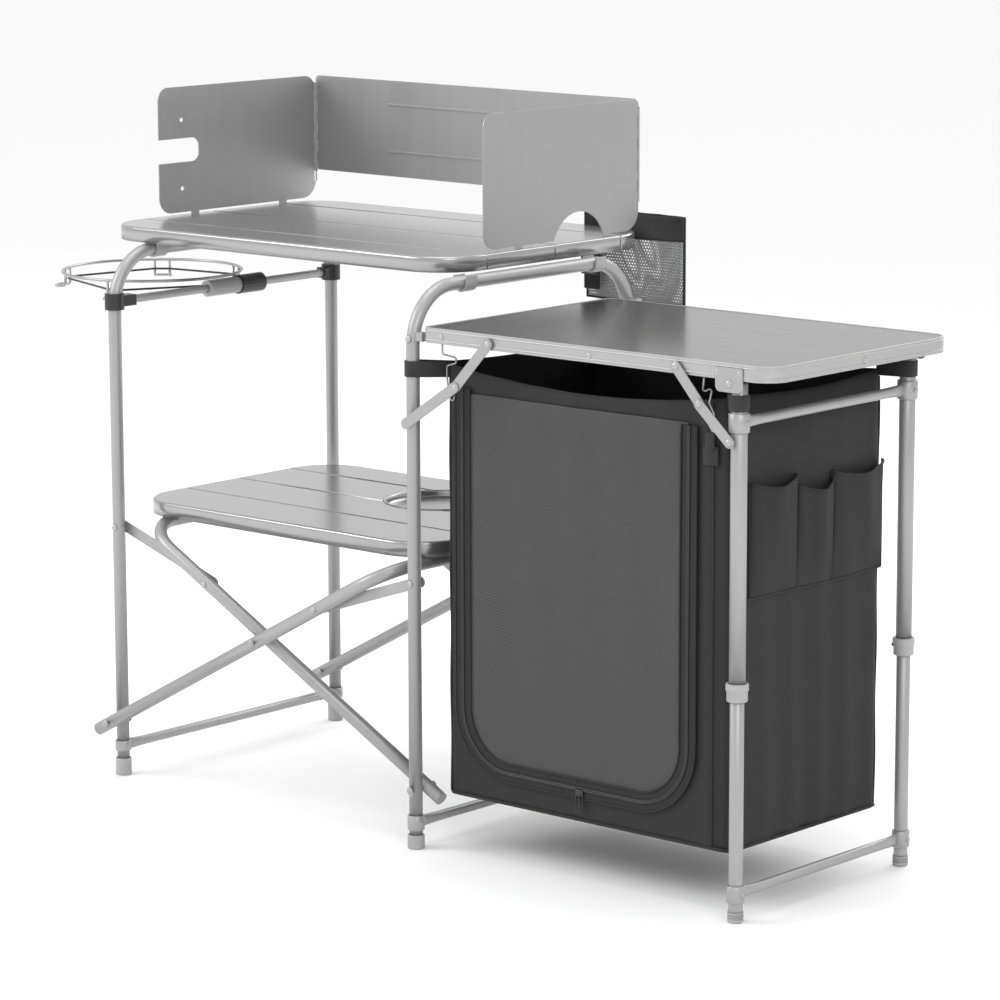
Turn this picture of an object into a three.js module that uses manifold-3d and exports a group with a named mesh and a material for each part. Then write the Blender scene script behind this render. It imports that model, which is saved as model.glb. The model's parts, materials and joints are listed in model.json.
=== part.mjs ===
// Folding camp kitchen: a slatted cooking table on a scissor stand, a lower slatted shelf,
// a windscreen, a waste-bag ring, and a side table with a hanging fabric cupboard.
// Millimetres, +Z up, +X to the side table, +Y to the back. The origin is on the ground,
// under the middle of the whole kitchen; the parts are laid out from the left front leg.
import * as THREE from 'three';
import { mergeVertices } from 'three/addons/utils/BufferGeometryUtils.js';
import Module from 'manifold-3d';

const wasm = await Module();
wasm.setup();

// ---- driving dimensions ----
const gap = 0.3; // running gap between neighbours
const tubeR = 9.5; // main frame tube radius
const boreR = 10.1; // anything that slides or sits on the main tube
const standSpan = 616; // left stand to right stand, along X
const standDepth = 460; // front leg to rear leg, along Y
const stagger = 24; // right stand and scissor A stand this far in front of the left ones
const legBottom = 4.4; // lower end of every leg tube, inside its foot
const tubeTop = 785; // height of the tubes that carry the main top
const frameBend = 78; // bend radius of the stands
const pinZ = 84; // height of the pins at the lower ends of the scissors
const armReach = 637; // pin to cross tube, along a scissor arm
const armTail = 30; // how far an arm passes its pin
const scissorRise = 302; // height of the scissor cross tubes above the pins
const scissorBend = 60;
const linkLegZ = 377; // link pin on a leg
const linkArm = 488; // link pin along a scissor arm, from its lower pin
const topZ = 817; // main working surface
const slatH = 22;
const sheet = 2; // wall of the slats
const mainTop = { x0: -92, x1: 602, y0: 62, widths: [84, 146, 146, 78], corner: 72 };
const shelf = { x0: 2, x1: 590, y0: 26, widths: [108, 112, 112, 84], corner: 74, top: 418.5 };
const dish = { x: 366, y: 304, r: 80, depth: 10 };
const dishT = 1.5;
const screen = { z0: 821, z1: 1011, panelZ: 864, t: 1.6, leftX: -80, leftY: 513, rightX: 594, rightY: 485 };
const wingLen = 340;
const barZ = 714; // bag-ring bar
const ring = { x: -133, y: 205, z: 730, r: 136, wire: 2.3 };
const side = { x0: 645, x1: 1242, y0: -36, y1: 361, top: 738, h: 21, rail: 12 };
const sideLeg = { x: 1180, yf: -23, yr: 344, r: 11, lowR: 9.5, hinge: 709, hingeX: 1174, split: 305 };
const bag = { x0: 655, x1: 1150, y0: 0, y1: 338, z0: 84, z1: 688, wall: 3, shelfZ: 400 };
const door = { x0: 694, x1: 1078, z0: 134, z1: 636, corner: 74 };
const pouch = { x0: 459, x1: 645, y0: 520, y1: 545, z0: 707, z1: 838 };
const centreX = 485; // the origin, measured from the left leg
const centreY = 251.6;

// ---- materials ----
function finish(color, roughness, metalness) {
  return new THREE.MeshStandardMaterial({ color, roughness, metalness });
}
const look = {
  tube: finish(0xa9abad, 0.38, 0.85),
  slat: finish(0x8d8f91, 0.35, 0.85),
  screen: finish(0x7d7f81, 0.45, 0.7),
  board: finish(0x3a3b3d, 0.25, 0.1),
  black: finish(0x18181a, 0.5, 0.05),
  grey: finish(0xa2a4a6, 0.5, 0.1),
  wire: finish(0x8a8c8e, 0.4, 0.85),
  fabric: finish(0x303236, 0.9, 0),
  mesh: finish(0x4a4c50, 0.9, 0),
};

// ---- solids ----
function toSolid(geometry) {
  const g = geometry.index ? geometry.toNonIndexed() : geometry.clone();
  for (const name of Object.keys(g.attributes)) {
    if (name !== 'position') g.deleteAttribute(name);
  }
  const m = mergeVertices(g, 1e-4);
  return new wasm.Manifold(new wasm.Mesh({
    numProp: 3,
    vertProperties: new Float32Array(m.attributes.position.array),
    triVerts: new Uint32Array(m.index.array),
  }));
}
function join(...parts) {
  return parts.reduce((a, b) => a.add(b));
}
function cut(body, ...tools) {
  return tools.reduce((a, b) => a.subtract(b), body);
}
function toGeometry(solid) {
  const mesh = solid.getMesh();
  const g = new THREE.BufferGeometry();
  g.setAttribute('position', new THREE.BufferAttribute(new Float32Array(mesh.vertProperties), 3));
  g.setIndex(new THREE.BufferAttribute(new Uint32Array(mesh.triVerts), 1));
  return g;
}

// a box between two corners
function box(x0, x1, y0, y1, z0, z1) {
  const g = new THREE.BoxGeometry(x1 - x0, y1 - y0, z1 - z0);
  return toSolid(g.translate((x0 + x1) / 2, (y0 + y1) / 2, (z0 + z1) / 2));
}

// a round bar along 'x', 'y' or 'z' between a and b, at the other two coordinates c and d in order
function rod(axis, r, a, b, c, d, sides = 12) {
  const g = new THREE.CylinderGeometry(r, r, b - a, sides);
  const m = (a + b) / 2;
  if (axis === 'x') g.rotateZ(-Math.PI / 2).translate(m, c, d);
  if (axis === 'y') g.translate(c, m, d);
  if (axis === 'z') g.rotateX(Math.PI / 2).translate(c, d, m);
  return toSolid(g);
}

// a path of straight runs whose corners are rounded to one bend radius;
// its stations lie only where the tube turns
class BentPath extends THREE.Curve {
  constructor(corners, radius, bendSteps = 5) {
    super();
    this.stations = [corners[0].clone()];
    for (let i = 1; i < corners.length - 1; i++) {
      const p = corners[i];
      const inDir = p.clone().sub(corners[i - 1]).normalize();
      const outDir = corners[i + 1].clone().sub(p).normalize();
      const turn = inDir.angleTo(outDir);
      const setBack = radius * Math.tan(turn / 2);
      const start = p.clone().addScaledVector(inDir, -setBack);
      const inward = outDir.clone().addScaledVector(inDir, -inDir.dot(outDir)).normalize();
      for (let k = 0; k <= bendSteps; k++) {
        const a = (turn * k) / bendSteps;
        this.stations.push(start.clone()
          .addScaledVector(inDir, radius * Math.sin(a))
          .addScaledVector(inward, radius * (1 - Math.cos(a))));
      }
    }
    this.stations.push(corners[corners.length - 1].clone());
  }
  get steps() {
    return this.stations.length - 1;
  }
  getPointAt(u) {
    return this.stations[Math.round(u * this.steps)].clone();
  }
  getPoint(u) {
    return this.getPointAt(u);
  }
  getTangentAt(u) {
    const i = Math.round(u * this.steps);
    const before = this.stations[Math.max(i - 1, 0)];
    const after = this.stations[Math.min(i + 1, this.steps)];
    const here = this.stations[i];
    const back = here.clone().sub(before).normalize();
    const on = after.clone().sub(here).normalize();
    return back.add(on).normalize();
  }
}
function tubeAlong(points, r, bend, sides = 12, bendSteps = 5) {
  const path = new BentPath(points.map((p) => new THREE.Vector3(...p)), bend, bendSteps);
  const circle = new THREE.Shape();
  circle.absarc(0, 0, r, 0, 2 * Math.PI);
  return toSolid(new THREE.ExtrudeGeometry(circle, {
    steps: path.steps, extrudePath: path, curveSegments: sides / 2,
  }));
}

// an outline with its four corners rounded, corner radii in the order
// (x0,y0) (x1,y0) (x1,y1) (x0,y1)
function roundedOutline(x0, x1, y0, y1, radii) {
  const [a, b, c, d] = radii;
  const s = new THREE.Shape();
  s.moveTo(x0 + a, y0);
  s.lineTo(x1 - b, y0);
  if (b) s.absarc(x1 - b, y0 + b, b, -Math.PI / 2, 0);
  s.lineTo(x1, y1 - c);
  if (c) s.absarc(x1 - c, y1 - c, c, 0, Math.PI / 2);
  s.lineTo(x0 + d, y1);
  if (d) s.absarc(x0 + d, y1 - d, d, Math.PI / 2, Math.PI);
  s.lineTo(x0, y0 + a);
  if (a) s.absarc(x0 + a, y0 + a, a, Math.PI, 1.5 * Math.PI);
  return s;
}
// an outline in X and Y, raised from z0 to z1
function slab(outline, z0, z1, curveSegments = 6) {
  const g = new THREE.ExtrudeGeometry(outline, { depth: z1 - z0, bevelEnabled: false, curveSegments });
  return toSolid(g.translate(0, 0, z0));
}
// an outline in Y and Z standing from x0 to x1
function standY(outline, x0, x1, curveSegments = 6) {
  const g = new THREE.ExtrudeGeometry(outline, { depth: x1 - x0, bevelEnabled: false, curveSegments });
  g.rotateX(Math.PI / 2).rotateZ(Math.PI / 2);
  return toSolid(g.translate(x0, 0, 0));
}
// an outline in X and Z standing from y0 to y1
function standX(outline, y0, y1, curveSegments = 6) {
  const g = new THREE.ExtrudeGeometry(outline, { depth: y1 - y0, bevelEnabled: false, curveSegments });
  return toSolid(g.rotateX(Math.PI / 2).translate(0, y1, 0));
}

const kitchen = new THREE.Group();
kitchen.name = 'camp_kitchen';
kitchen.position.set(-centreX, -centreY, 0);
function add(name, solid, material) {
  const mesh = new THREE.Mesh(toGeometry(solid), material);
  mesh.name = name;
  kitchen.add(mesh);
}

// ---- stands: an upside-down U of tube, feet, a low crossbar and saddle clips ----
const leftFront = 0;
const leftRear = standDepth;
const rightFront = -stagger;
const rightRear = standDepth - stagger;
const scissorAngle = Math.asin(scissorRise / armReach);
const pinR = 3;
const pinHoleR = 3.4;

function standTube(x, yFront, yRear, r = tubeR) {
  return tubeAlong([[x, yFront, legBottom], [x, yFront, tubeTop], [x, yRear, tubeTop], [x, yRear, legBottom]],
    r, frameBend);
}
function foot(x, y, height, r = 12.3, bore = boreR, sides = 16) {
  const floor = 4;
  return cut(rod('z', r, 0, height, x, y, sides), rod('z', bore, floor, height + 1, x, y));
}
// a bar from leg to leg, along Y, with a sleeve round each leg
function crossbar(x, yFront, yRear, z, barR, legHole, sleeveR, sleeveH) {
  const bar = rod('y', barR, yFront, yRear, x, z, 10);
  const sleeves = [yFront, yRear].map((y) => rod('z', sleeveR, z - sleeveH / 2, z + sleeveH / 2, x, y, 16));
  const holes = [yFront, yRear].map((y) => rod('z', legHole, z - sleeveH, z + sleeveH, x, y));
  return cut(join(bar, ...sleeves), ...holes);
}
// a saddle round the lower half of the top tube, reaching up to the slats
function topClip(x, yMiddle, stand) {
  const half = 11;
  const outer = rod('y', 13, yMiddle - half, yMiddle + half, x, tubeTop, 16);
  const cheeks = box(x - 13, x + 13, yMiddle - half, yMiddle + half, tubeTop, topZ - slatH - gap);
  const mouth = box(x - boreR, x + boreR, yMiddle - 2 * half, yMiddle + 2 * half, tubeTop, topZ);
  return cut(join(outer, cheeks), stand, mouth);
}
function pinHoles(x, z, ...ys) {
  return ys.map((y) => rod('y', pinHoleR, y - 14, y + 14, x, z, 8));
}

add('left_frame', cut(standTube(0, leftFront, leftRear),
  ...pinHoles(0, pinZ, leftFront, leftRear)), look.tube);
add('right_frame', cut(standTube(standSpan, rightFront, rightRear),
  ...pinHoles(standSpan, pinZ, rightFront, rightRear)), look.tube);
// the space that a fitting leaves for the tube it sits on
const leftRoom = standTube(0, leftFront, leftRear, boreR);
const rightRoom = standTube(standSpan, rightFront, rightRear, boreR);
add('left_front_foot', foot(0, leftFront, 26), look.grey);
add('left_rear_foot', foot(0, leftRear, 26), look.grey);
add('right_front_foot', foot(standSpan, rightFront, 20), look.grey);
add('right_rear_foot', foot(standSpan, rightRear, 20), look.grey);
add('left_crossbar', crossbar(0, leftFront, leftRear, 45, 7, boreR, 12, 22), look.tube);
add('right_crossbar', crossbar(standSpan, rightFront, rightRear, 37, 7, boreR, 12, 22), look.tube);
add('left_front_clip', topClip(0, 88, leftRoom), look.grey);
add('left_rear_clip', topClip(0, 378, leftRoom), look.grey);
add('right_front_clip', topClip(standSpan, 84, rightRoom), look.grey);
add('right_rear_clip', topClip(standSpan, 362, rightRoom), look.grey);

// ---- scissors: two U frames whose arms cross at pins half way along ----
function scissor(pinX, direction, yFront, yRear) {
  const along = (s, y) => [pinX + direction * s * Math.cos(scissorAngle), y, pinZ + s * Math.sin(scissorAngle)];
  return tubeAlong([along(-armTail, yFront), along(armReach, yFront), along(armReach, yRear),
    along(-armTail, yRear)], tubeR, scissorBend);
}
// arm A carries the studs: one through each left leg, one through each arm of B
const crossS = standSpan / 2 / Math.cos(scissorAngle);
const crossZ = pinZ + crossS * Math.sin(scissorAngle);
const studBack = 12; // how far a stud shows past the far side of its tube
function stud(x, y, z, yFrom = y - 12, yTo = y + stagger + studBack) {
  return rod('y', pinR, yFrom, yTo, x, z, 8);
}
add('scissor_a', join(scissor(0, 1, rightFront, rightRear),
  stud(0, rightFront, pinZ), stud(0, rightRear, pinZ),
  stud(standSpan / 2, rightFront, crossZ), stud(standSpan / 2, rightRear, crossZ)), look.tube);
// arm B turns on studs of its own through the right legs
add('scissor_b', cut(join(scissor(standSpan, -1, leftFront, leftRear),
  stud(standSpan, leftFront, pinZ, leftFront - stagger - studBack, leftFront + 12),
  stud(standSpan, leftRear, pinZ, leftRear - stagger - studBack, leftRear + 12)),
...pinHoles(standSpan / 2, crossZ, leftFront, leftRear)), look.tube);

// flat links that lock each scissor to the opposite leg
const linkX = linkArm * Math.cos(scissorAngle);
const linkZ = pinZ + linkArm * Math.sin(scissorAngle);
const linkT = 2;
function flatLink(xa, za, xb, zb, width, yFront, thickness = linkT) {
  const length = Math.hypot(xb - xa, zb - za);
  const s = new THREE.Shape();
  s.moveTo(0, -width / 2);
  s.lineTo(length, -width / 2);
  s.absarc(length, 0, width / 2, -Math.PI / 2, Math.PI / 2);
  s.lineTo(0, width / 2);
  s.absarc(0, 0, width / 2, Math.PI / 2, 1.5 * Math.PI);
  const g = new THREE.ExtrudeGeometry(s, { depth: thickness, bevelEnabled: false, curveSegments: 4 });
  g.rotateX(Math.PI / 2).rotateY(-Math.atan2(zb - za, xb - xa));
  return toSolid(g.translate(xa, yFront + thickness, za));
}
add('right_link', flatLink(standSpan, linkLegZ, linkX, linkZ, 16, rightFront + 11), look.tube);
add('left_link', flatLink(0, linkLegZ, standSpan - linkX, linkZ, 16, leftFront + 11), look.tube);

// ---- slatted tops: folded sheet pans laid side by side ----
const slatGap = 1.6;
function slatPan(x0, x1, y0, y1, top, radii) {
  const inner = radii.map((r) => Math.max(r - sheet, 0));
  return cut(slab(roundedOutline(x0, x1, y0, y1, radii), top - slatH, top),
    slab(roundedOutline(x0 + sheet, x1 - sheet, y0 + sheet, y1 - sheet, inner), top - slatH - 1, top - sheet));
}
function slats(prefix, plan, top, hole) {
  let y = plan.y0;
  plan.widths.forEach((width, i) => {
    const c = plan.corner;
    const radii = [0, 0, 0, 0];
    if (i === 0) {
      radii[0] = c;
      radii[1] = c;
    }
    if (i === plan.widths.length - 1) {
      radii[2] = c;
      radii[3] = c;
    }
    const y1 = y + width - (i < plan.widths.length - 1 ? slatGap : 0);
    const pan = slatPan(plan.x0, plan.x1, y, y1, top, radii);
    add(`${prefix}_slat_${i + 1}`, hole ? cut(pan, hole) : pan, look.slat);
    y += width;
  });
}
slats('main', mainTop, topZ, null);
slats('shelf', shelf, shelf.top,
  rod('z', dish.r + gap, shelf.top - dish.depth - dishT - gap, shelf.top + 1, dish.x, dish.y, 40));
// the round dish that drops into the shelf
function dishPan() {
  const t = dishT;
  const top = shelf.top;
  const low = top - dish.depth;
  const profile = [[0, low - t], [dish.r, low - t], [dish.r, top], [dish.r - t, top], [dish.r - t, low], [0, low]];
  const g = new THREE.LatheGeometry(profile.map((p) => new THREE.Vector2(...p)), 40);
  return toSolid(g.rotateX(Math.PI / 2).translate(dish.x, dish.y, 0));
}
add('shelf_dish', dishPan(), look.slat);

// ---- windscreen: a rear panel and two wings on piano hinges ----
const knuckleR = 3;
const knuckleBore = 1.6;
const hingePinR = 1.2;
const hingeZ = [846, 1000];
const knuckles = 10;
const backYaw = Math.atan2(screen.rightY - screen.leftY, screen.rightX - screen.leftX);
function knuckleSet(x, y, odd) {
  const pitch = (hingeZ[1] - hingeZ[0]) / knuckles;
  const set = [];
  for (let i = odd; i < knuckles; i += 2) {
    const z = hingeZ[0] + i * pitch;
    set.push(rod('z', knuckleR, z + gap, z + pitch - gap, x, y, 8));
  }
  return set;
}
function hingeBore(x, y) {
  return rod('z', knuckleBore, hingeZ[0] - 1, hingeZ[1] + 1, x, y, 8);
}
// clears the neighbour's knuckles out of a panel's edge
function knuckleRelief(x, y, odd) {
  const pitch = (hingeZ[1] - hingeZ[0]) / knuckles;
  const set = [];
  for (let i = odd; i < knuckles; i += 2) {
    const z = hingeZ[0] + i * pitch;
    set.push(rod('z', knuckleR + 0.8, z - gap, z + pitch + gap, x, y, 12));
  }
  return set;
}
function backPanel() {
  const length = Math.hypot(screen.rightX - screen.leftX, screen.rightY - screen.leftY);
  const plate = standX(roundedOutline(0, length, screen.panelZ, screen.z1, [8, 8, 8, 8]), gap, gap + screen.t);
  const ridges = [screen.panelZ + 38, screen.z1 - 37].map((z) => box(160, length - 160, -1.2, 0.5, z - 1.5, z + 1.5));
  const ends = [[0, 0], [length, 0]];
  let body = join(plate, ...ridges);
  ends.forEach(([x, y]) => {
    body = cut(body, ...knuckleRelief(x, y, 1));
    body = join(body, ...knuckleSet(x, y, 0).filter((k, i) => i > 0));
    body = join(body, rod('z', hingePinR, hingeZ[0], hingeZ[1], x, y, 8));
  });
  return body.rotate([0, 0, (backYaw * 180) / Math.PI]).translate([screen.leftX, screen.leftY, 0]);
}
add('screen_back_panel', backPanel(), look.screen);

// a wing hangs on the hinge line and runs forward; cutters shape its edge
function wing(x, y, cutters, outward) {
  const y0 = y - wingLen;
  const x0 = outward < 0 ? x - gap - screen.t : x + gap;
  const radii = [24, 30, 24, 20];
  const plate = standY(roundedOutline(y0, y, screen.z0, screen.z1, radii), x0, x0 + screen.t);
  const tabs = [0.22, 0.78].map((f) => box(x0, x0 + screen.t, y0 + f * wingLen - 8, y0 + f * wingLen + 8,
    topZ + gap, screen.z0 + 2));
  let body = cut(join(plate, ...tabs), ...cutters);
  body = cut(body, ...knuckleRelief(x, y, 0));
  body = join(body, ...knuckleSet(x, y, 1));
  return cut(body, hingeBore(x, y));
}
const slotZ = [897, 933];
const slotEnd = screen.leftY - wingLen + 84;
const leftCutters = [
  standY(roundedOutline(screen.leftY - wingLen - 20, slotEnd, slotZ[0], slotZ[1], [0, 14, 14, 0]), -90, -70),
  rod('x', 3.5, -90, -70, screen.leftY - wingLen + 48, 961, 12),
  rod('x', 3.5, -90, -70, screen.leftY - wingLen + 48, 857, 12),
];
const archY = screen.rightY - wingLen + 206;
const rightCutters = [rod('x', 59, 580, 610, archY, screen.z0 - 21, 32)];
add('screen_left_wing', wing(screen.leftX, screen.leftY, leftCutters, -1), look.screen);
add('screen_right_wing', wing(screen.rightX, screen.rightY, rightCutters, 1), look.screen);

// ---- waste-bag ring on a bar between the left legs ----
const bracketH = 24;
// a collar round the leg, with a lug that holds one end of the bar
function holderBracket(y, inward) {
  const block = rod('z', 14.5, barZ - bracketH / 2, barZ + bracketH / 2, 0, y, 20);
  const lugY = inward > 0 ? [y + 12, y + 36] : [y - 22, y - 12];
  const lug = box(-9, 9, lugY[0], lugY[1], barZ - 8, barZ + 8);
  const slot = rod('y', 6.6, ...(inward > 0 ? [y + 20, y + 40] : [y - 30, y - 14]), 0, barZ);
  return cut(join(block, lug), leftRoom, slot);
}
add('holder_bracket_front', holderBracket(leftFront, 1), look.black);
add('holder_bracket_rear', holderBracket(leftRear, -1), look.black);
add('holder_bar', rod('y', 6.2, leftFront + 22, leftRear - 16, 0, barZ), look.tube);
const sleeveBore = 6.6;
function sleeve(r, y0, y1) {
  return cut(rod('y', r, y0, y1, 0, barZ, 16), rod('y', sleeveBore, y0 - 1, y1 + 1, 0, barZ));
}
add('ring_sleeve', sleeve(12.5, 190, 254), look.grey);
add('lock_sleeve', sleeve(14.5, 254.5, 304), look.black);

// the ring is one bent wire with four U-shaped hooks welded below it
function ringPoint(angle, r = ring.r) {
  return [ring.x + r * Math.cos(angle), ring.y + r * Math.sin(angle)];
}
function hook(angle) {
  const half = 0.085; // half the angle between a hook's two uprights
  const low = ring.z - 26;
  const out = 16;
  const [ax, ay] = ringPoint(angle - half);
  const [bx, by] = ringPoint(angle + half);
  const [cx, cy] = ringPoint(angle + half, ring.r + out);
  const [dx, dy] = ringPoint(angle - half, ring.r + out);
  return tubeAlong([[ax, ay, ring.z], [ax, ay, low], [dx, dy, low], [cx, cy, low], [bx, by, low],
    [bx, by, ring.z]], ring.wire, 5, 8, 3);
}
const hookAngles = [0.36 * Math.PI, 0.72 * Math.PI, 1.16 * Math.PI, 1.62 * Math.PI];
function ringWire() {
  const g = new THREE.TorusGeometry(ring.r, ring.wire, 8, 48);
  return join(toSolid(g.translate(ring.x, ring.y, ring.z)), ...hookAngles.map(hook));
}
add('ring_wire', ringWire(), look.wire);
// elastic cord: from the sleeve, inside the four hooks, and back to the sleeve
const cordR = 1.6;
const cordZ = ring.z - 14;
function elasticCord() {
  const r = ring.r - ring.wire - cordR - 0.6;
  const half = 0.1;
  const points = [[-15, 240, cordZ]];
  hookAngles.forEach((a) => {
    points.push([...ringPoint(a - half, r), cordZ], [...ringPoint(a + half, r), cordZ]);
  });
  points.push([-15, 204, cordZ]);
  return tubeAlong(points, cordR, 6, 8, 2);
}
add('elastic_cord', elasticCord(), look.black);

// ---- side table: a framed board hung on the right stand ----
add('side_rail', join(rod('y', 6, rightFront, rightRear, standSpan + 20, 722, 10),
  box(standSpan + 10, standSpan + 22, rightFront - 6, rightFront + 6, 716, 728),
  box(standSpan + 10, standSpan + 22, rightRear - 6, rightRear + 6, 716, 728)), look.tube);
// the table's outline, drawn in by an inset: small corners at the stand, large ones at the free end
function sideOutline(inset) {
  const { x0, x1, y0, y1 } = side;
  const near = Math.max(10 - inset, 2);
  const far = 34 - inset;
  return roundedOutline(x0 + inset, x1 - inset, y0 + inset, y1 - inset, [near, far, far, near]);
}
const boardLip = 3; // width of the rim that stands round the board
const boardT = 9;
function sideFrame() {
  const { top, h, rail } = side;
  return cut(slab(sideOutline(0), top - h, top), slab(sideOutline(rail), top - h - 1, top + 1),
    slab(sideOutline(boardLip), top - boardT - 1, top + 1));
}
add('side_frame', sideFrame(), look.tube);
add('side_board', slab(sideOutline(boardLip + gap), side.top - 0.6 - boardT, side.top - 0.6), look.board);

// leg hinge plates on the rim of the table
function hingePlate(yFace) {
  const s = roundedOutline(sideLeg.hingeX - 22, sideLeg.hingeX + 22, sideLeg.hinge - 8, 733, [8, 8, 2, 2]);
  return standX(s, yFace, yFace + 1.5);
}
const plateGap = 0.4;
add('side_hinge_front', hingePlate(side.y0 - plateGap - 1.5), look.tube);
add('side_hinge_rear', hingePlate(side.y1 + plateGap), look.tube);

// telescopic side legs
function upperLeg(y) {
  return cut(rod('z', sideLeg.r, sideLeg.split, sideLeg.hinge + 3, sideLeg.x, y),
    rod('z', boreR, sideLeg.split - 1, sideLeg.hinge - 4, sideLeg.x, y),
    rod('x', 4, sideLeg.x - 20, sideLeg.x, y, sideLeg.split + 3, 8));
}
function legCollar(y) {
  const z0 = sideLeg.split - 9;
  const z1 = sideLeg.split + 15;
  const body = rod('z', 15.5, z0, z1, sideLeg.x, y, 16);
  return cut(body, rod('z', boreR, z0 - 1, z1 + 1, sideLeg.x, y),
    rod('z', sideLeg.r + 0.4, sideLeg.split - gap, z1 + 1, sideLeg.x, y),
    rod('x', 3.6, sideLeg.x - 20, sideLeg.x - 8, y, sideLeg.split + 3, 8));
}
function lowerLeg(y) {
  return rod('z', sideLeg.lowR, legBottom, sideLeg.split + 158, sideLeg.x, y);
}
for (const [name, y] of [['front', sideLeg.yf], ['rear', sideLeg.yr]]) {
  add(`side_leg_${name}_upper`, upperLeg(y), look.tube);
  add(`side_leg_${name}_lower`, lowerLeg(y), look.tube);
  add(`side_leg_${name}_collar`, legCollar(y), look.grey);
  add(`side_leg_${name}_foot`, foot(sideLeg.x, y, 15, 10.8), look.grey);
}
add('leg_release_button', rod('x', 3, sideLeg.x - 18.5, sideLeg.x - 13, sideLeg.yr, sideLeg.split + 3, 10),
  look.black);
add('side_upper_crossbar', crossbar(sideLeg.x, sideLeg.yf, sideLeg.yr, 661, 7, 11.5, 14, 26), look.tube);
add('side_lower_crossbar', crossbar(sideLeg.x, sideLeg.yf, sideLeg.yr, 38, 7, boreR, 12, 24), look.tube);

// folding braces, outside the front face of the table and legs
const braceT = 1.5;
const braceNear = side.y0 - 4.2; // layer of the links pinned to the table
const braceFar = braceNear - 2; // layer of the links pinned to the legs
// a link from its pinned end to the brace's middle joint, with the pin's stud
function brace(atX, atZ, endX, endZ, layer, studEnd) {
  return join(flatLink(atX, atZ, endX, endZ, 15, layer, braceT),
    rod('y', 4, layer + braceT / 2, studEnd - gap, atX, atZ, 10));
}
add('left_brace_upper', brace(766, 725, 707, 661, braceNear, side.y0), look.tube);
add('left_brace_lower', brace(617, 602, 707, 661, braceFar, rightFront - tubeR), look.tube);
add('right_brace_upper', brace(1088, 727, 1128, 682, braceNear, side.y0), look.tube);
add('right_brace_lower', brace(1178, 637, 1128, 682, braceFar, sideLeg.yf - sideLeg.r), look.tube);

// ---- fabric cupboard: a hollow bag, open at the top, with a door opening ----
function strapLoop(legX, legY, legR, z, toX, toY) {
  const half = 11;
  const band = cut(rod('z', legR + 2.6, z - half, z + half, legX, legY, 16),
    rod('z', legR + 0.6, z - half - 1, z + half + 1, legX, legY, 16));
  const reach = Math.hypot(toX - legX, toY - legY);
  const tail = new THREE.BoxGeometry(reach - legR - 1, 2, 2 * half);
  tail.translate((reach + legR + 1) / 2, 0, 0);
  tail.rotateZ(Math.atan2(toY - legY, toX - legX)).translate(legX, legY, z);
  return join(band, toSolid(tail));
}
function cupboard() {
  const { x0, x1, y0, y1, z0, z1, wall } = bag;
  const r = 12;
  const shell = cut(slab(roundedOutline(x0, x1, y0, y1, [r, r, r, r]), z0, z1, 4),
    slab(roundedOutline(x0 + wall, x1 - wall, y0 + wall, y1 - wall, [r - 2, r - 2, r - 2, r - 2]), z0 + wall, z1 + 1, 4));
  const doorway = standX(roundedOutline(door.x0 + 10, door.x1 - 10, door.z0 + 10, door.z1 - 10,
    [door.corner - 10, door.corner - 10, 4, 4]), y0 - 1, y0 + wall + 1);
  const pocketTop = 570;
  const pocketFloor = 418;
  const pocketOut = 12; // how far the pocket stands out
  const pocket = cut(box(x1 - 1, x1 + pocketOut, y0 + 38, y1 - 12, pocketFloor, pocketTop),
    box(x1, x1 + pocketOut - 2, y0 + 40, y1 - 14, pocketFloor + 2, pocketTop + 1));
  return join(cut(shell, doorway), pocket,
    strapLoop(standSpan, rightFront, tubeR, 677, x0 + 8, y0 + 8),
    strapLoop(standSpan, rightRear, tubeR, 677, x0 + 8, y1 - 8),
    strapLoop(sideLeg.x, sideLeg.yf, sideLeg.r, 687, x1 - 8, y0 + 8),
    strapLoop(sideLeg.x, sideLeg.yr, sideLeg.r, 690, x1 - 8, y1 - 8));
}
add('cupboard_bag', cupboard(), look.fabric);
add('cupboard_door', standX(roundedOutline(door.x0, door.x1, door.z0, door.z1,
  [door.corner, door.corner, 6, 6]), bag.y0 - 3.5, bag.y0 - gap), look.mesh);
add('cupboard_shelf', slab(roundedOutline(bag.x0 + 6, bag.x1 - 6, bag.y0 + 6, bag.y1 - 6, [8, 8, 8, 8]),
  bag.shelfZ, bag.shelfZ + 5), look.fabric);
add('zip_slider', join(box(894, 906, bag.y0 - 9, bag.y0 - 4, 118, 130), box(896, 904, bag.y0 - 8.5, bag.y0 - 6, 96, 120)),
  look.black);

// ---- utensil pouch hung behind the main top ----
function pouchShell() {
  const { x0, x1, y0, y1, z0, z1 } = pouch;
  return cut(box(x0, x1, y0, y1, z0, z1), box(x0 + 2, x1 - 2, y0 + 2, y1 - 2, z0 + 2, z1 + 1));
}
add('utensil_pouch', pouchShell(), look.mesh);

export default kitchen;
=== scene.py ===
import json
import math

import bpy
import numpy as np
from mathutils import Matrix, Vector


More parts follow.
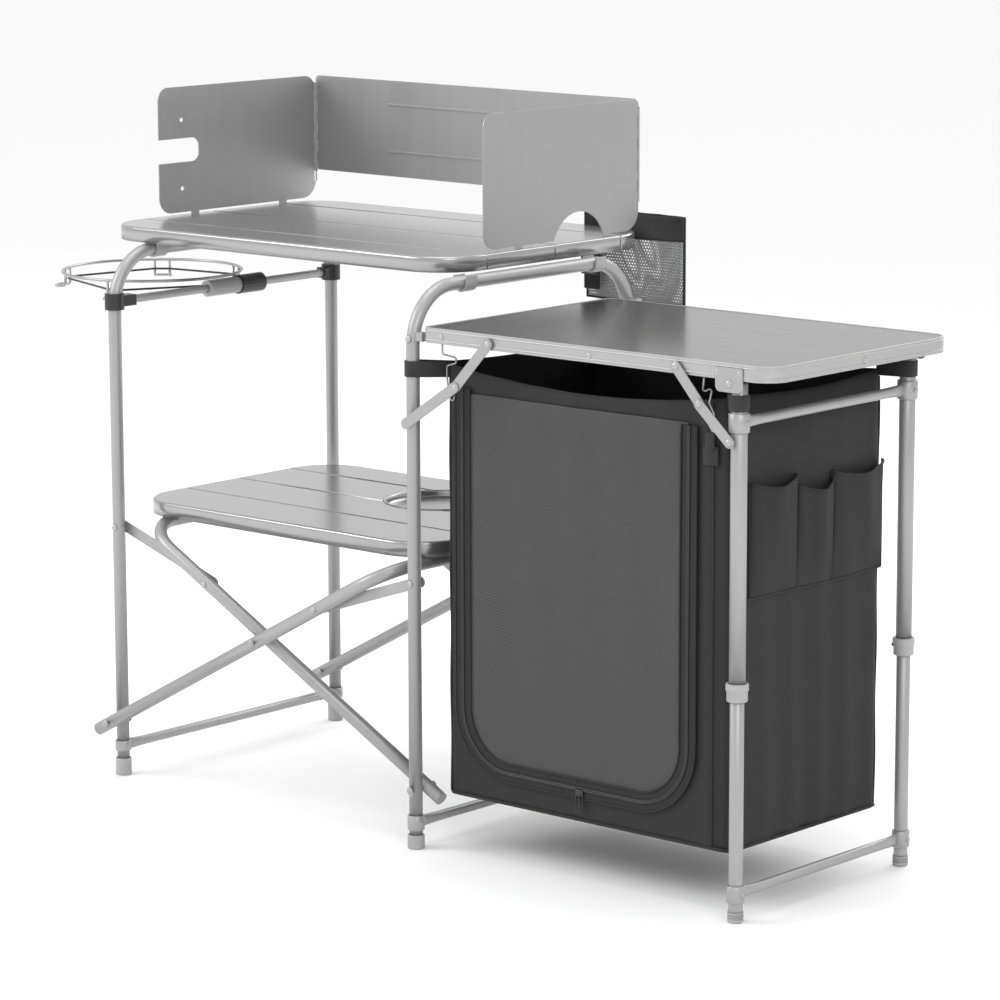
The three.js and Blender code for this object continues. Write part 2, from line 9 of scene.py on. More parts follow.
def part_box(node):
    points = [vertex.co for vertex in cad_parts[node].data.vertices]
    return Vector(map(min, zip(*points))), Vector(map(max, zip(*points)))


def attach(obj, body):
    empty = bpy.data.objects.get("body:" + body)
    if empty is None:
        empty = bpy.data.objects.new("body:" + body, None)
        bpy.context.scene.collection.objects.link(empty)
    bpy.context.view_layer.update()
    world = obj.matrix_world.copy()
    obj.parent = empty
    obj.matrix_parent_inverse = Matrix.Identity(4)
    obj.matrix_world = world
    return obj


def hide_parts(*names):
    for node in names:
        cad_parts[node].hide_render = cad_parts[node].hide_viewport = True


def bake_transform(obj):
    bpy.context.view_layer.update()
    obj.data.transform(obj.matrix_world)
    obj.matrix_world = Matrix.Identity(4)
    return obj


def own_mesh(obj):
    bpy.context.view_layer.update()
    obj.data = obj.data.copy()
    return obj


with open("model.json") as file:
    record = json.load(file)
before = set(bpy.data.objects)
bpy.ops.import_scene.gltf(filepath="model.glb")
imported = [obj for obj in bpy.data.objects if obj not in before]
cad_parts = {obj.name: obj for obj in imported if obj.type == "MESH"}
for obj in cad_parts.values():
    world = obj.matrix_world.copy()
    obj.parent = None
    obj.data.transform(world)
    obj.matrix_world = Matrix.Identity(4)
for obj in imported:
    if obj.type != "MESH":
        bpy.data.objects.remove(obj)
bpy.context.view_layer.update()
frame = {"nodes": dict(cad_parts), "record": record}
lowFoot, highFoot = (np.array(corner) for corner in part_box("left_front_foot"))
home = (lowFoot + highFoot) / 2 * (1, 1, 0)  # the left front leg's axis, on the ground: places are from here
print("frame loaded")


# small mesh tools

axisGap = 0.0002  # a capped profile starts this far from its axis
toFront, toRear, toRight, upward = (0, -1, 0), (0, 1, 0), (1, 0, 0), (0, 0, 1)


def unit(v):
    v = np.asarray(v, float)
    return v / np.maximum(np.linalg.norm(v, axis=-1, keepdims=True), 1e-12)


# straight runs between the corners, each corner replaced by an arc that touches both runs
def bentPath(corners, radius, steps=12):
    corners = [np.array(c, float) for c in corners]
    points = [corners[0]]
    for before, here, after in zip(corners, corners[1:], corners[2:]):
        into, out = unit(here - before), unit(after - here)
        turn = math.acos(np.clip(into @ out, -1, 1))
        if turn < 1e-3:
            points.append(here)
            continue
        inward = unit(out - into * (into @ out))
        angle = np.linspace(0, turn, steps + 1)[:, None]
        start = here - into * radius * math.tan(turn / 2)
        points.extend(start + into * radius * np.sin(angle) + inward * radius * (1 - np.cos(angle)))
    points.append(corners[-1])
    return np.array(points)


# length from the start of a path to each of its points
def lengthAlong(points):
    return np.concatenate([[0], np.cumsum(np.linalg.norm(np.diff(points, axis=0), axis=1))])


# points from x, y and z, any of which may be one number for all of them
def pointsOf(x, y, z):
    return np.stack(np.broadcast_arrays(x, y, z), -1).astype(float)


# the first and last rings of a grid, each as one face
def endCaps(rows, cols):
    return [list(range(cols))[::-1], list(range((rows - 1) * cols, rows * cols))]


# the same path with a point about every `pitch` of its length
def resample(points, pitch):
    run = lengthAlong(points)
    marks = np.linspace(0, run[-1], max(int(run[-1] / pitch), 2) + 1)
    return np.stack([np.interp(marks, run, points[:, k]) for k in range(3)], axis=1)


def circle(radius, sides):
    a = np.arange(sides) * 2 * math.pi / sides
    return np.stack([radius * np.cos(a), radius * np.sin(a)], axis=1)


# a flat band's section, rounded at both edges
def bandSection(width, thick, sides=8):
    a = np.linspace(-math.pi / 2, math.pi / 2, sides // 2 + 1)
    edge = np.stack([width / 2 - thick / 2 + thick / 2 * np.cos(a), thick / 2 * np.sin(a)], axis=1)
    return np.concatenate([edge, -edge])


def quarterTurn(section):
    return np.stack([-section[:, 1], section[:, 0]], axis=1)


# quads of a grid of rows and columns, joined round where a direction wraps
def gridFaces(rows, cols, wrapRows=False, wrapCols=False):
    i = np.arange(rows if wrapRows else rows - 1)
    j = np.arange(cols if wrapCols else cols - 1)
    i, j = np.meshgrid(i, j, indexing="ij")
    i2, j2 = (i + 1) % rows, (j + 1) % cols
    corner = np.stack([i * cols + j, i * cols + j2, i2 * cols + j2, i2 * cols + j], axis=-1).reshape(-1, 4)
    flat = np.stack([np.stack([i, j], -1), np.stack([i, j + 1], -1), np.stack([i + 1, j + 1], -1),
                     np.stack([i + 1, j], -1)], axis=-2).reshape(-1, 4, 2)
    return corner, flat


# a shell is vertices, faces, which faces are smooth, and a UV for each face corner
def shell(verts, faces, smooth, uv):
    return {"verts": np.asarray(verts, float).reshape(-1, 3), "faces": faces, "smooth": smooth, "uv": uv}


# a surface given as a rows x cols array of points; u and v are its lengths in metres
def surface(points, wrapCols=False, keep=None, flip=False):
    rows, cols = points.shape[:2]
    faces, flat = gridFaces(rows, cols, wrapCols=wrapCols)
    ring = np.concatenate([points, points[:, :1]], axis=1) if wrapCols else points
    across = np.linalg.norm(np.diff(ring, axis=1), axis=2).mean(axis=0)
    along = np.linalg.norm(np.diff(points, axis=0), axis=2).mean(axis=1)
    u = np.concatenate([[0], np.cumsum(across)])
    v = np.concatenate([[0], np.cumsum(along)])
    uv = np.stack([u[flat[..., 1]], v[flat[..., 0]]], axis=-1)
    if keep is not None:
        centres = points.reshape(-1, 3)[faces].mean(axis=1)
        chosen = keep(centres)
        faces, uv = faces[chosen], uv[chosen]
    if flip:
        faces, uv = faces[:, ::-1], uv[:, ::-1]
    return shell(points, faces.tolist(), [True] * len(faces), uv.reshape(-1, 2))


# a section carried along a path: ring i = point i + across * section x + upright * section y
def sweep(points, section, up, closed=False, scale=None):
    points = np.asarray(points, float)
    ahead, behind = np.roll(points, -1, 0) - points, points - np.roll(points, 1, 0)
    if not closed:
        ahead[-1], behind[0] = behind[-1], ahead[0]
    tangent = unit(unit(ahead) + unit(behind))
    across = unit(np.cross(tangent, np.broadcast_to(up, points.shape)))
    upright = np.cross(across, tangent)
    size = np.ones(len(points)) if scale is None else np.asarray(scale)
    x = section[None, :, :1] * size[:, None, None]
    y = section[None, :, 1:] * size[:, None, None]
    rings = points[:, None] + across[:, None] * x + upright[:, None] * y
    rows, cols = rings.shape[:2]
    faces, flat = gridFaces(rows, cols, wrapRows=closed, wrapCols=True)
    run = lengthAlong(np.concatenate([points, points[:1]]))
    girth = lengthAlong(np.concatenate([section, section[:1]]))
    faces, flat = faces[:, ::-1], flat[:, ::-1]  # so that they point outwards
    uv = np.stack([girth[flat[..., 1]], run[flat[..., 0]]], axis=-1).reshape(-1, 2)
    faceList, smooth = faces.tolist(), [True] * len(faces)
    if not closed:
        faceList += [cap[::-1] for cap in endCaps(rows, cols)]
        smooth += [False, False]
        uv = np.concatenate([uv, np.zeros((2 * cols, 2))])
    return shell(rings, faceList, smooth, uv)


# a profile of (radius, height) turned round an axis; a profile that starts or ends on the axis is capped
def turned(profile, centre, axis=upward, sides=32):
    profile = np.array(profile, float)
    axis = unit(axis)
    first = unit(np.cross(axis, (0.3, 0.5, 0.8) if abs(axis[2]) < 0.9 else (0, 1, 0)))
    second = np.cross(axis, first)
    closedLoop = np.allclose(profile[0], profile[-1])
    body = profile[:-1] if closedLoop else profile[(profile[:, 0] > 0)]
    a = np.arange(sides) * 2 * math.pi / sides
    spoke = first * np.cos(a)[:, None] + second * np.sin(a)[:, None]
    rings = np.asarray(centre) + axis * body[:, 1, None, None] + spoke[None] * body[:, 0, None, None]
    faces, flat = gridFaces(len(body), sides, wrapRows=closedLoop, wrapCols=True)
    uv = (flat * (0.005, 0.002)).reshape(-1, 2)  # a nominal step: no turned piece has a pattern on its UVs
    faceList, flags = faces.tolist(), [True] * len(faces)
    if not closedLoop:
        faceList += endCaps(len(body), sides)
        flags += [False, False]
        uv = np.concatenate([uv, np.zeros((2 * sides, 2))])
    return shell(rings, faceList, flags, uv)


# makes one object from some shells, gives it its finish and body, and hides the CAD nodes it stands for
def piece(name, shells, finish, body, stands=(), slot=None, solid=None, bevel=None, fixNormals=False):
    verts, faces, smooth, uvs, count = [], [], [], [], 0
    for s in shells:
        verts.append(s["verts"])
        faces += [[k + count for k in f] for f in s["faces"]]
        smooth += s["smooth"]
        uvs.append(s["uv"])
        count += len(s["verts"])
    mesh = bpy.data.meshes.new(name)
    mesh.from_pydata((np.concatenate(verts) + home).tolist(), [], faces)
    mesh.polygons.foreach_set("use_smooth", np.array(smooth, bool))
    layer = mesh.uv_layers.new(name="UVMap")
    layer.data.foreach_set("uv", np.concatenate(uvs).astype(np.float32).ravel())
    mesh.validate()
    mesh.update()
    obj = bpy.data.objects.new(name, mesh)
    bpy.context.collection.objects.link(obj)
    obj.data.materials.append(finishes[finish])
    if fixNormals:
        bpy.context.view_layer.objects.active = obj
        bpy.ops.object.select_all(action="DESELECT")
        obj.select_set(True)
        bpy.ops.object.mode_set(mode="EDIT")
        bpy.ops.mesh.select_all(action="SELECT")
        bpy.ops.mesh.remove_doubles(threshold=1e-5)
        bpy.ops.mesh.normals_make_consistent(inside=False)
        bpy.ops.object.mode_set(mode="OBJECT")
    if solid:
        wall = obj.modifiers.new("wall", "SOLIDIFY")
        wall.thickness, wall.offset = solid
    if bevel:
        edge = obj.modifiers.new("edge", "BEVEL")
        edge.width, edge.segments, edge.limit_method = bevel, 2, "ANGLE"
    if body:
        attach(obj, body)
    if stands:
        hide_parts(*stands)
    return obj


# shader tools

class Value:  # a shader value that can be used in ordinary sums
    def __init__(self, look, socket):
        self.look, self.socket = look, socket

    def sum(self, operation, first, second):
        return self.look.add("ShaderNodeMath", {"operation": operation}, {0: first, 1: second})

    def __add__(self, other):
        return self.sum("ADD", self, other)

    def __mul__(self, other):
        return self.sum("MULTIPLY", self, other)

    def __sub__(self, other):
        return self.sum("SUBTRACT", self, other)

    def __rsub__(self, other):
        return self.sum("SUBTRACT", other, self)

    def __truediv__(self, other):
        return self.sum("DIVIDE", self, other)

    def __gt__(self, other):
        return self.sum("GREATER_THAN", self, other)

    __radd__ = __add__
    __rmul__ = __mul__


class Look:  # one material: a Principled shader and what feeds it
    def __init__(self, name, **fixed):
        self.material = bpy.data.materials.new(name)
        self.material.use_nodes = True
        self.tree = self.material.node_tree
        self.tree.nodes.clear()
        out = self.tree.nodes.new("ShaderNodeOutputMaterial")
        self.surface = self.tree.nodes.new("ShaderNodeBsdfPrincipled")
        self.tree.links.new(self.surface.outputs[0], out.inputs[0])
        self.feed(**{key.replace("_", " "): value for key, value in fixed.items()})

    def feed(self, **sockets):
        for name, value in sockets.items():
            self.put(self.surface.inputs[name.replace("_", " ")], value)
        return self

    def put(self, socket, value):
        if isinstance(value, Value):
            self.tree.links.new(value.socket, socket)
        else:
            socket.default_value = value

    def add(self, kind, settings=None, inputs=None, out=0):
        node = self.tree.nodes.new(kind)
        for name, value in (settings or {}).items():
            if name == "stops":
                ramp = node.color_ramp.elements
                while len(ramp) < len(value):
                    ramp.new(0.5)
                for stop, (place, shade) in zip(ramp, value):
                    stop.position = place
                    stop.color = (shade, shade, shade, 1)
            else:
                setattr(node, name, value)
        for name, value in (inputs or {}).items():
            self.put(node.inputs[name], value)
        return Value(self, node.outputs[out])

    def apply(self, operation, value):
        return self.add("ShaderNodeMath", {"operation": operation}, {0: value})

    def coordinates(self, scale=(1, 1, 1)):
        place = self.add("ShaderNodeTexCoord", out="Object")
        return self.add("ShaderNodeMapping", inputs={"Vector": place, "Scale": scale})

    def clothAxes(self):  # lengths across and along the cloth, in metres
        place = self.add("ShaderNodeTexCoord", out="UV")
        across = self.add("ShaderNodeSeparateXYZ", inputs={0: place})
        return across, Value(self, across.socket.node.outputs[1])

    def noise(self, place, scale, detail=3.0, roughness=0.5):
        return self.add("ShaderNodeTexNoise", inputs={"Vector": place, "Scale": scale, "Detail": detail,
                                                      "Roughness": roughness})

    def ramp(self, value, *stops):
        return self.add("ShaderNodeValToRGB", {"stops": stops}, {0: value})

    def mix(self, factor, first, second):
        return self.add("ShaderNodeMix", {"data_type": "RGBA"}, {0: factor, 6: first, 7: second}, out=2)

    def bump(self, height, distance, strength=1.0, under=None):
        inputs = {"Strength": strength, "Distance": distance, "Height": height}
        if under:
            inputs["Normal"] = under
        return self.add("ShaderNodeBump", inputs=inputs)

    def softEdge(self, radius):
        return self.add("ShaderNodeBevel", {"samples": 4}, {"Radius": radius})


def grey(v, warm=0.0):
    return (v * (1 + warm), v, v * (1 - warm), 1)


# satin aluminium: fine drawn lines along one direction, cloudy roughness, small rubbed marks;
# vary is how strongly these show, and a piece with rolled edges needs no softened ones
def drawnMetal(name, shade, rough, lines, metallic=0.9, edge=0.0008, depth=0.00002, vary=1.0):
    look = Look(name, Metallic=metallic)
    streaks = look.noise(look.coordinates(scale=lines), 1.0, 4.0, 0.6)
    clouds = look.noise(look.coordinates(), 9.0, 3.0)
    marks = look.ramp(look.noise(look.coordinates(), 60.0, 6.0, 0.7), (0.60, 0), (0.72, 1))
    dark, light = grey(shade * (1 - 0.10 * vary)), grey(shade * (1 + 0.08 * vary))
    tone = look.mix(streaks * 0.5 + clouds * 0.5, dark, light)
    look.feed(Base_Color=look.mix(marks * (0.25 * vary), tone, grey(shade * 0.72)))
    spread = streaks * (0.10 * vary) + clouds * (0.12 * vary) + marks * (0.08 * vary)
    look.feed(Roughness=spread + (rough - 0.12 * vary))
    if edge:
        look.feed(Normal=look.bump(streaks, depth, 0.5, look.softEdge(edge)))
    return look.material


# moulded plastic: fine grain, a little shine on the rubbed patches
def mouldedPlastic(name, shade, rough=0.5):
    look = Look(name)
    place = look.coordinates()
    grain = look.noise(place, 1400.0, 2.0)
    wear = look.noise(place, 25.0, 4.0)
    look.feed(Base_Color=look.mix(wear, grey(shade * 0.85), grey(shade * 1.15)))
    look.feed(Roughness=wear * 0.16 + grain * 0.08 + (rough - 0.12))
    look.feed(Normal=look.bump(grain, 0.0001, 0.25, look.softEdge(0.0008)))
    return look.material


# dark laminate: long faint grain under a clear coat, with fine scratches in the gloss
def darkLaminate():
    look = Look("darkLaminate", Coat_Weight=0.15, Coat_Roughness=0.12, Specular_IOR_Level=0.38)
    grain = look.noise(look.coordinates(scale=(6, 90, 6)), 1.0, 5.0, 0.65)
    specks = look.noise(look.coordinates(), 420.0, 2.0)
    scratches = look.noise(look.coordinates(scale=(30, 600, 30)), 1.0, 2.0)
    shade = look.mix(grain, grey(0.022), grey(0.052, 0.02))
    look.feed(Base_Color=look.mix(specks * 0.3, shade, grey(0.075)))
    look.feed(Roughness=scratches * 0.10 + grain * 0.08 + 0.13)
    look.feed(Normal=look.bump(grain * 0.7 + scratches * 0.3, 0.00003, 0.4, look.softEdge(0.0008)))
    return look.material


# plain weave: threads pass over and under each other on a checkerboard of the thread pitch
def wovenCloth(name, shade, pitch=0.0011, sheen=0.25, depth=0.00012):
    look = Look(name, Sheen_Weight=sheen, Sheen_Roughness=0.5)
    u, v = look.clothAxes()
    turns = math.pi / pitch
    warp, weft = look.apply("SINE", u * turns), look.apply("SINE", v * turns)
    over = warp * weft > 0.0
    warpRound, weftRound = look.apply("ABSOLUTE", warp), look.apply("ABSOLUTE", weft)
    height = over * warpRound + (1 - over) * weftRound
    slub = look.noise(look.coordinates(scale=(900, 900, 40)), 1.0, 3.0)
    dust = look.noise(look.coordinates(), 14.0, 5.0, 0.6)
    tone = look.mix(height * 0.5 + slub * 0.3 + dust * 0.2, grey(shade * 0.62), grey(shade * 1.25))
    look.feed(Base_Color=tone, Roughness=dust * 0.14 + slub * 0.08 + 0.66)
    creases = look.noise(look.coordinates(scale=(1, 1, 0.45)), 22.0, 3.0, 0.55)
    look.feed(Normal=look.bump(height, depth, 0.7, look.bump(creases, 0.004, 0.32)))
    return look.material


# open net: round holes on a staggered grid, cut through by alpha
def netCloth(name, shade, pitch, hole):
    look = Look(name, Sheen_Weight=0.08, Sheen_Roughness=0.5)
    u, v = look.clothAxes()
    turns = 2 * math.pi / pitch
    slant, stretch = 0.577, 1.155  # tangent, and one over the cosine, of 30 degrees
    first = look.apply("COSINE", (u + v * slant) * turns)
    second = look.apply("COSINE", (u - v * slant) * turns)
    third = look.apply("COSINE", v * (turns * stretch))
    bulge = (first + second + third) / 3.0
    dust = look.noise(look.coordinates(), 30.0, 4.0)
    look.feed(Base_Color=look.mix(dust * 0.5 + (1 - bulge) * 0.3, grey(shade * 0.7), grey(shade * 1.3)))
    look.feed(Alpha=1 - (bulge > hole), Roughness=dust * 0.15 + 0.68)
    look.feed(Normal=look.bump(1 - bulge, 0.0003, 0.6))
    return look.material


finishes = {
    "tube": drawnMetal("anodisedTube", 0.36, 0.40, (260, 260, 6), metallic=0.45),
    "tubeAcross": drawnMetal("anodisedBar", 0.36, 0.40, (260, 6, 260), metallic=0.45),
    "rim": drawnMetal("anodisedRim", 0.42, 0.36, (6, 260, 400), metallic=0.6),
    "slat": drawnMetal("satinSlat", 0.36, 0.24, (3, 420, 60), metallic=0.8, edge=0, vary=0.25),
    "screen": drawnMetal("screenSheet", 0.36, 0.44, (60, 60, 5), metallic=0.7, edge=0.0005, depth=0.000005),
    "wire": drawnMetal("platedWire", 0.36, 0.34, (90, 90, 90)),
    "laminate": darkLaminate(),
    "grey": mouldedPlastic("greyMoulding", 0.36, 0.48),
    "black": mouldedPlastic("blackMoulding", 0.018, 0.38),
    "fabric": wovenCloth("charcoalWeave", 0.012, sheen=0.02),
    "webbing": wovenCloth("webbing", 0.022, pitch=0.002, sheen=0.03, depth=0.0004),
    "tape": wovenCloth("zipTape", 0.010, sheen=0.03, pitch=0.0014, depth=0.0003),
    "net": netCloth("doorNet", 0.060, 0.0026, 0.45),
    "wideNet": netCloth("pouchNet", 0.26, 0.0050, 0.30),
    "elastic": wovenCloth("braidedElastic", 0.012, pitch=0.0012, depth=0.0002),
}
slotFinish = {
    "tube_metal": "tube", "slat_metal": "slat", "screen_metal": "screen", "wire_steel": "wire",
    "dark_laminate": "laminate", "grey_plastic": "grey", "black_plastic": "black",
    "elastic": "elastic", "woven_fabric": "fabric", "mesh_fabric": "net",
}
finishSlot = {finish: slot for slot, finish in slotFinish.items()}
finishSlot.update({"tubeAcross": "tube_metal", "rim": "tube_metal", "webbing": "woven_fabric",
                   "tape": "black_plastic", "wideNet": "mesh_fabric"})
for part in frame["record"]["subparts"]:
    node = frame["nodes"][part["node"]]
    node.data.materials.clear()
    node.data.materials.append(finishes[slotFinish[part["material_slot"]]])
for nodeName in ("holder_bar", "left_crossbar", "right_crossbar", "side_rail"):
    frame["nodes"][nodeName].data.materials[0] = finishes["tubeAcross"]
frame["nodes"]["side_frame"].data.materials[0] = finishes["rim"]
print("materials made")


# camera, light and floor

camera = {"azimuth": 41.319, "elevation": 10.364, "roll": -0.165, "lens": 145.86, "sensor": 36,
          "farthest": 200, "place": (4.3230, -4.0615, 1.4957)}


def makeCamera():
    az, el, roll = (math.radians(camera[k]) for k in ("azimuth", "elevation", "roll"))
    look = Vector((-math.sin(az) * math.cos(el), math.cos(az) * math.cos(el), -math.sin(el)))
    level = Vector((math.cos(az), math.sin(az), 0))
    upright = level.cross(look)
    right = level * math.cos(roll) + upright * math.sin(roll)
    up = upright * math.cos(roll) - level * math.sin(roll)
    data = bpy.data.cameras.new("camera")
    data.lens, data.sensor_width, data.clip_end = camera["lens"], camera["sensor"], camera["farthest"]
    obj = bpy.data.objects.new("camera", data)
    bpy.context.collection.objects.link(obj)
    turn = Matrix((right, up, -look)).transposed().to_4x4()
    obj.matrix_world = Matrix.Translation(Vector(camera["place"]) + Vector(home)) @ turn
    bpy.context.scene.camera = obj


studio = {"sky": 1.0, "floor": 60.0, "lamps": [  # each lamp's place, aim, size and watts
    ((-2.2, -2.6, 3.0), (0.4, 0.2, 0.6), 2.2, 70),
    ((3.6, -1.8, 2.2), (0.6, 0.2, 0.5), 1.6, 28),
    ((0.5, 3.4, 2.6), (0.5, 0.2, 0.7), 2.4, 60),
    ((0.4, 0.2, 3.6), (0.4, 0.2, 0.8), 2.0, 30),
]}


def makeStudio():
    world = bpy.data.worlds.new("studio")
    world.use_nodes = True
    sky = world.node_tree.nodes["Background"]
    sky.inputs[0].default_value = (1, 1, 1, 1)
    sky.inputs[1].default_value = studio["sky"]
    bpy.context.scene.world = world
    for index, (place, aim, size, watts) in enumerate(studio["lamps"]):
        data = bpy.data.lights.new(f"softbox{index}", "AREA")
        data.size, data.energy = size, watts
        lamp = bpy.data.objects.new(f"softbox{index}", data)
        bpy.context.collection.objects.link(lamp)
        spot = Vector(place) + Vector(home)
        lamp.location = spot
        lamp.rotation_euler = (Vector(aim) + Vector(home) - spot).to_track_quat("-Z", "Y").to_euler()
    mesh = bpy.data.meshes.new("floor")
    reach = studio["floor"]
    corners = [(-reach, -reach, 0), (reach, -reach, 0), (reach, reach, 0), (-reach, reach, 0)]
    mesh.from_pydata(corners, [], [(0, 1, 2, 3)])
    floor = bpy.data.objects.new("floor", mesh)
    bpy.context.collection.objects.link(floor)
    floorLook = Look("paleFloor", Roughness=0.9, Base_Color=grey(0.94))
    floor.data.materials.append(floorLook.material)


makeCamera()
makeStudio()
bpy.context.scene.view_settings.view_transform = "Standard"
print("camera and studio made")


# tubes: the stands, the scissors and the legs, drawn round

tube = {"radius": 0.0095, "top": 0.785, "bend": 0.078, "legBottom": 0.0044, "span": 0.616, "depth": 0.460,
        "stagger": 0.024}
crossTube = {"pinZ": 0.084, "reach": 0.637, "tail": 0.030, "rise": 0.302, "bend": 0.060}
sideLegs = {"x": 1.180, "front": -0.023, "rear": 0.344, "upper": 0.011, "split": 0.305, "top": 0.712}
leftYs = (0.0, tube["depth"])
rightYs = (-tube["stagger"], tube["depth"] - tube["stagger"])
sideYs = (sideLegs["front"], sideLegs["rear"])
armSlope = math.asin(crossTube["rise"] / crossTube["reach"])


def standTube(x, ys):
    z0, z1 = tube["legBottom"], tube["top"]
    path = bentPath([(x, ys[0], z0), (x, ys[0], z1), (x, ys[1], z1), (x, ys[1], z0)], tube["bend"])
    return sweep(path, circle(tube["radius"], 32), (1, 0, 0))


def scissorTube(pinX, way, ys):
    def along(s, y):
        return (pinX + way * s * math.cos(armSlope), y, crossTube["pinZ"] + s * math.sin(armSlope))

    low, high = -crossTube["tail"], crossTube["reach"]
    corners = [along(low, ys[0]), along(high, ys[0]), along(high, ys[1]), along(low, ys[1])]
    path = bentPath(corners, crossTube["bend"])
    normal = (-way * math.sin(armSlope), 0, math.cos(armSlope))
    return sweep(path, circle(tube["radius"], 32), normal)


# radius and rise of each kind of rivet head
rivetHeads = {"bar": (0.0042, 0.0022), "small": (0.0034, 0.0018), "stud": (0.0055, 0.003),
              "leg": (0.005, 0.0028), "rim": (0.0045, 0.0024), "pin": (0.0052, 0.0028),
              "hinge": (0.0052, 0.003)}


# a small domed head: an arc of a circle turned about its axis
def rivet(centre, axis, kind):
    radius, rise = rivetHeads[kind]
    a = np.linspace(0, math.pi / 2, 6)[:-1]
    arc = [(radius * math.cos(t), rise * math.sin(t)) for t in a]
    return turned([(radius, -0.0006)] + arc + [(radius * 0.18, rise)], centre, axis, 16)


def stud(x, z, front, rear):
    return [sweep(np.array([(x, front, z), (x, rear, z)]), circle(0.003, 16), upward),
            rivet((x, front, z), toFront, "stud"), rivet((x, rear, z), toRear, "stud")]


crossX = tube["span"] / 2
crossZ = crossTube["pinZ"] + crossX * math.tan(armSlope)
shortEnd, longEnd = 0.012, 0.036  # how far a stud reaches past its tube, away from and towards the other one
piece("leftStandTube", [standTube(0, leftYs)], "tube", "left_stand", ["left_frame"])
piece("rightStandTube", [standTube(tube["span"], rightYs)], "tube", "right_stand", ["right_frame"])
armA, armB = [scissorTube(0, 1, rightYs)], [scissorTube(tube["span"], -1, leftYs)]
for y in rightYs:
    for x, z in ((0, crossTube["pinZ"]), (crossX, crossZ)):
        armA += stud(x, z, y - shortEnd, y + longEnd)
for y in leftYs:
    armB += stud(tube["span"], crossTube["pinZ"], y - longEnd, y + shortEnd)
piece("scissorTubeA", armA, "tube", "scissor_a", ["scissor_a"])
piece("scissorTubeB", armB, "tube", "scissor_b", ["scissor_b"])

barPlan = {"radius": 0.007, "pinch": 0.035, "narrow": (0.42, 0.58), "tall": (1.28, -0.28), "lip": 0.0012,
           "play": 0.0004, "rivetIn": 0.012}


# a bar from leg to leg, pinched flat where it meets the sleeve round each leg
def crossbar(name, x, ys, z, body, node, hole, sleeve, high):
    y = np.linspace(ys[0] + hole, ys[1] - hole, 61)
    near = np.minimum(y - y[0], y[-1] - y)
    full = np.clip(near / barPlan["pinch"], 0, 1) ** 0.6  # 0 at the sleeves, 1 where the bar is round
    base = sweep(pointsOf(x, y, z), circle(barPlan["radius"], 24), upward)
    rings = base["verts"].reshape(len(y), -1, 3)
    for k, middle, (pinched, more) in ((0, x, barPlan["narrow"]), (2, z, barPlan["tall"])):
        rings[:, :, k] = middle + (rings[:, :, k] - middle) * (pinched + more * full)[:, None]
    base["verts"] = rings.reshape(-1, 3)
    half, lip, bore = high / 2, barPlan["lip"], hole + barPlan["play"]
    loop = [(bore, -half), (sleeve - lip, -half), (sleeve, -half + lip), (sleeve, half - lip),
            (sleeve - lip, half), (bore, half), (bore, -half)]
    sleeves = [turned(loop, (x, end, z)) for end in ys]
    heads = [rivet((x + sleeve, end, z), toRight, "bar") for end in ys]
    inward = (ys[0] + hole + barPlan["rivetIn"], ys[1] - hole - barPlan["rivetIn"])
    heads += [rivet((x + 0.0028, end, z), toRight, "small") for end in inward]
    piece(name, [base] + sleeves + heads, "tubeAcross", body, [node])


rightX, sideX = tube["span"], sideLegs["x"]
# name, x, ys, height, body, node, and the bore, radius and height of the sleeves
for plan in (
        ("leftLowBar", 0.0, leftYs, 0.045, "left_stand", "left_crossbar", 0.0101, 0.012, 0.016),
        ("rightLowBar", rightX, rightYs, 0.037, "right_stand", "right_crossbar", 0.0101, 0.012, 0.022),
        ("sideLowBar", sideX, sideYs, 0.038, "lower_legs", "side_lower_crossbar", 0.0101, 0.012, 0.024),
        ("sideHighBar", sideX, sideYs, 0.661, "side_legs", "side_upper_crossbar", 0.0115, 0.014, 0.026)):
    crossbar(*plan)


# a foot cup: a tapered, ribbed sleeve with a rounded sole
def footCup(name, x, y, high, radius, body, node):
    bore = 0.0102
    wall = [(axisGap, 0.0), (radius - 0.0022, 0.0), (radius - 0.0006, 0.0008), (radius, 0.0028)]
    ribs = np.linspace(0.0045, high - 0.003, 9)
    wall += [(radius - (0.0007 if k % 2 else 0.0), z) for k, z in enumerate(ribs)]
    wall += [(radius - 0.0004, high - 0.0012), (radius - 0.0012, high), (bore, high), (bore, 0.0040),
             (axisGap, 0.0040)]
    piece(name, [turned(wall, (x, y, 0))], "grey", body, [node])


for label, x, ys, high, radius, body, node in (
        ("Left", 0, leftYs, 0.026, 0.0123, "left_stand", "left_{}_foot"),
        ("Right", rightX, rightYs, 0.020, 0.0123, "right_stand", "right_{}_foot"),
        ("Side", sideX, sideYs, 0.015, 0.0108, "lower_legs", "side_leg_{}_foot")):
    for end, y in zip(("front", "rear"), ys):
        footCup(f"foot{label}{end.title()}", x, y, high, radius, body, node.format(end))

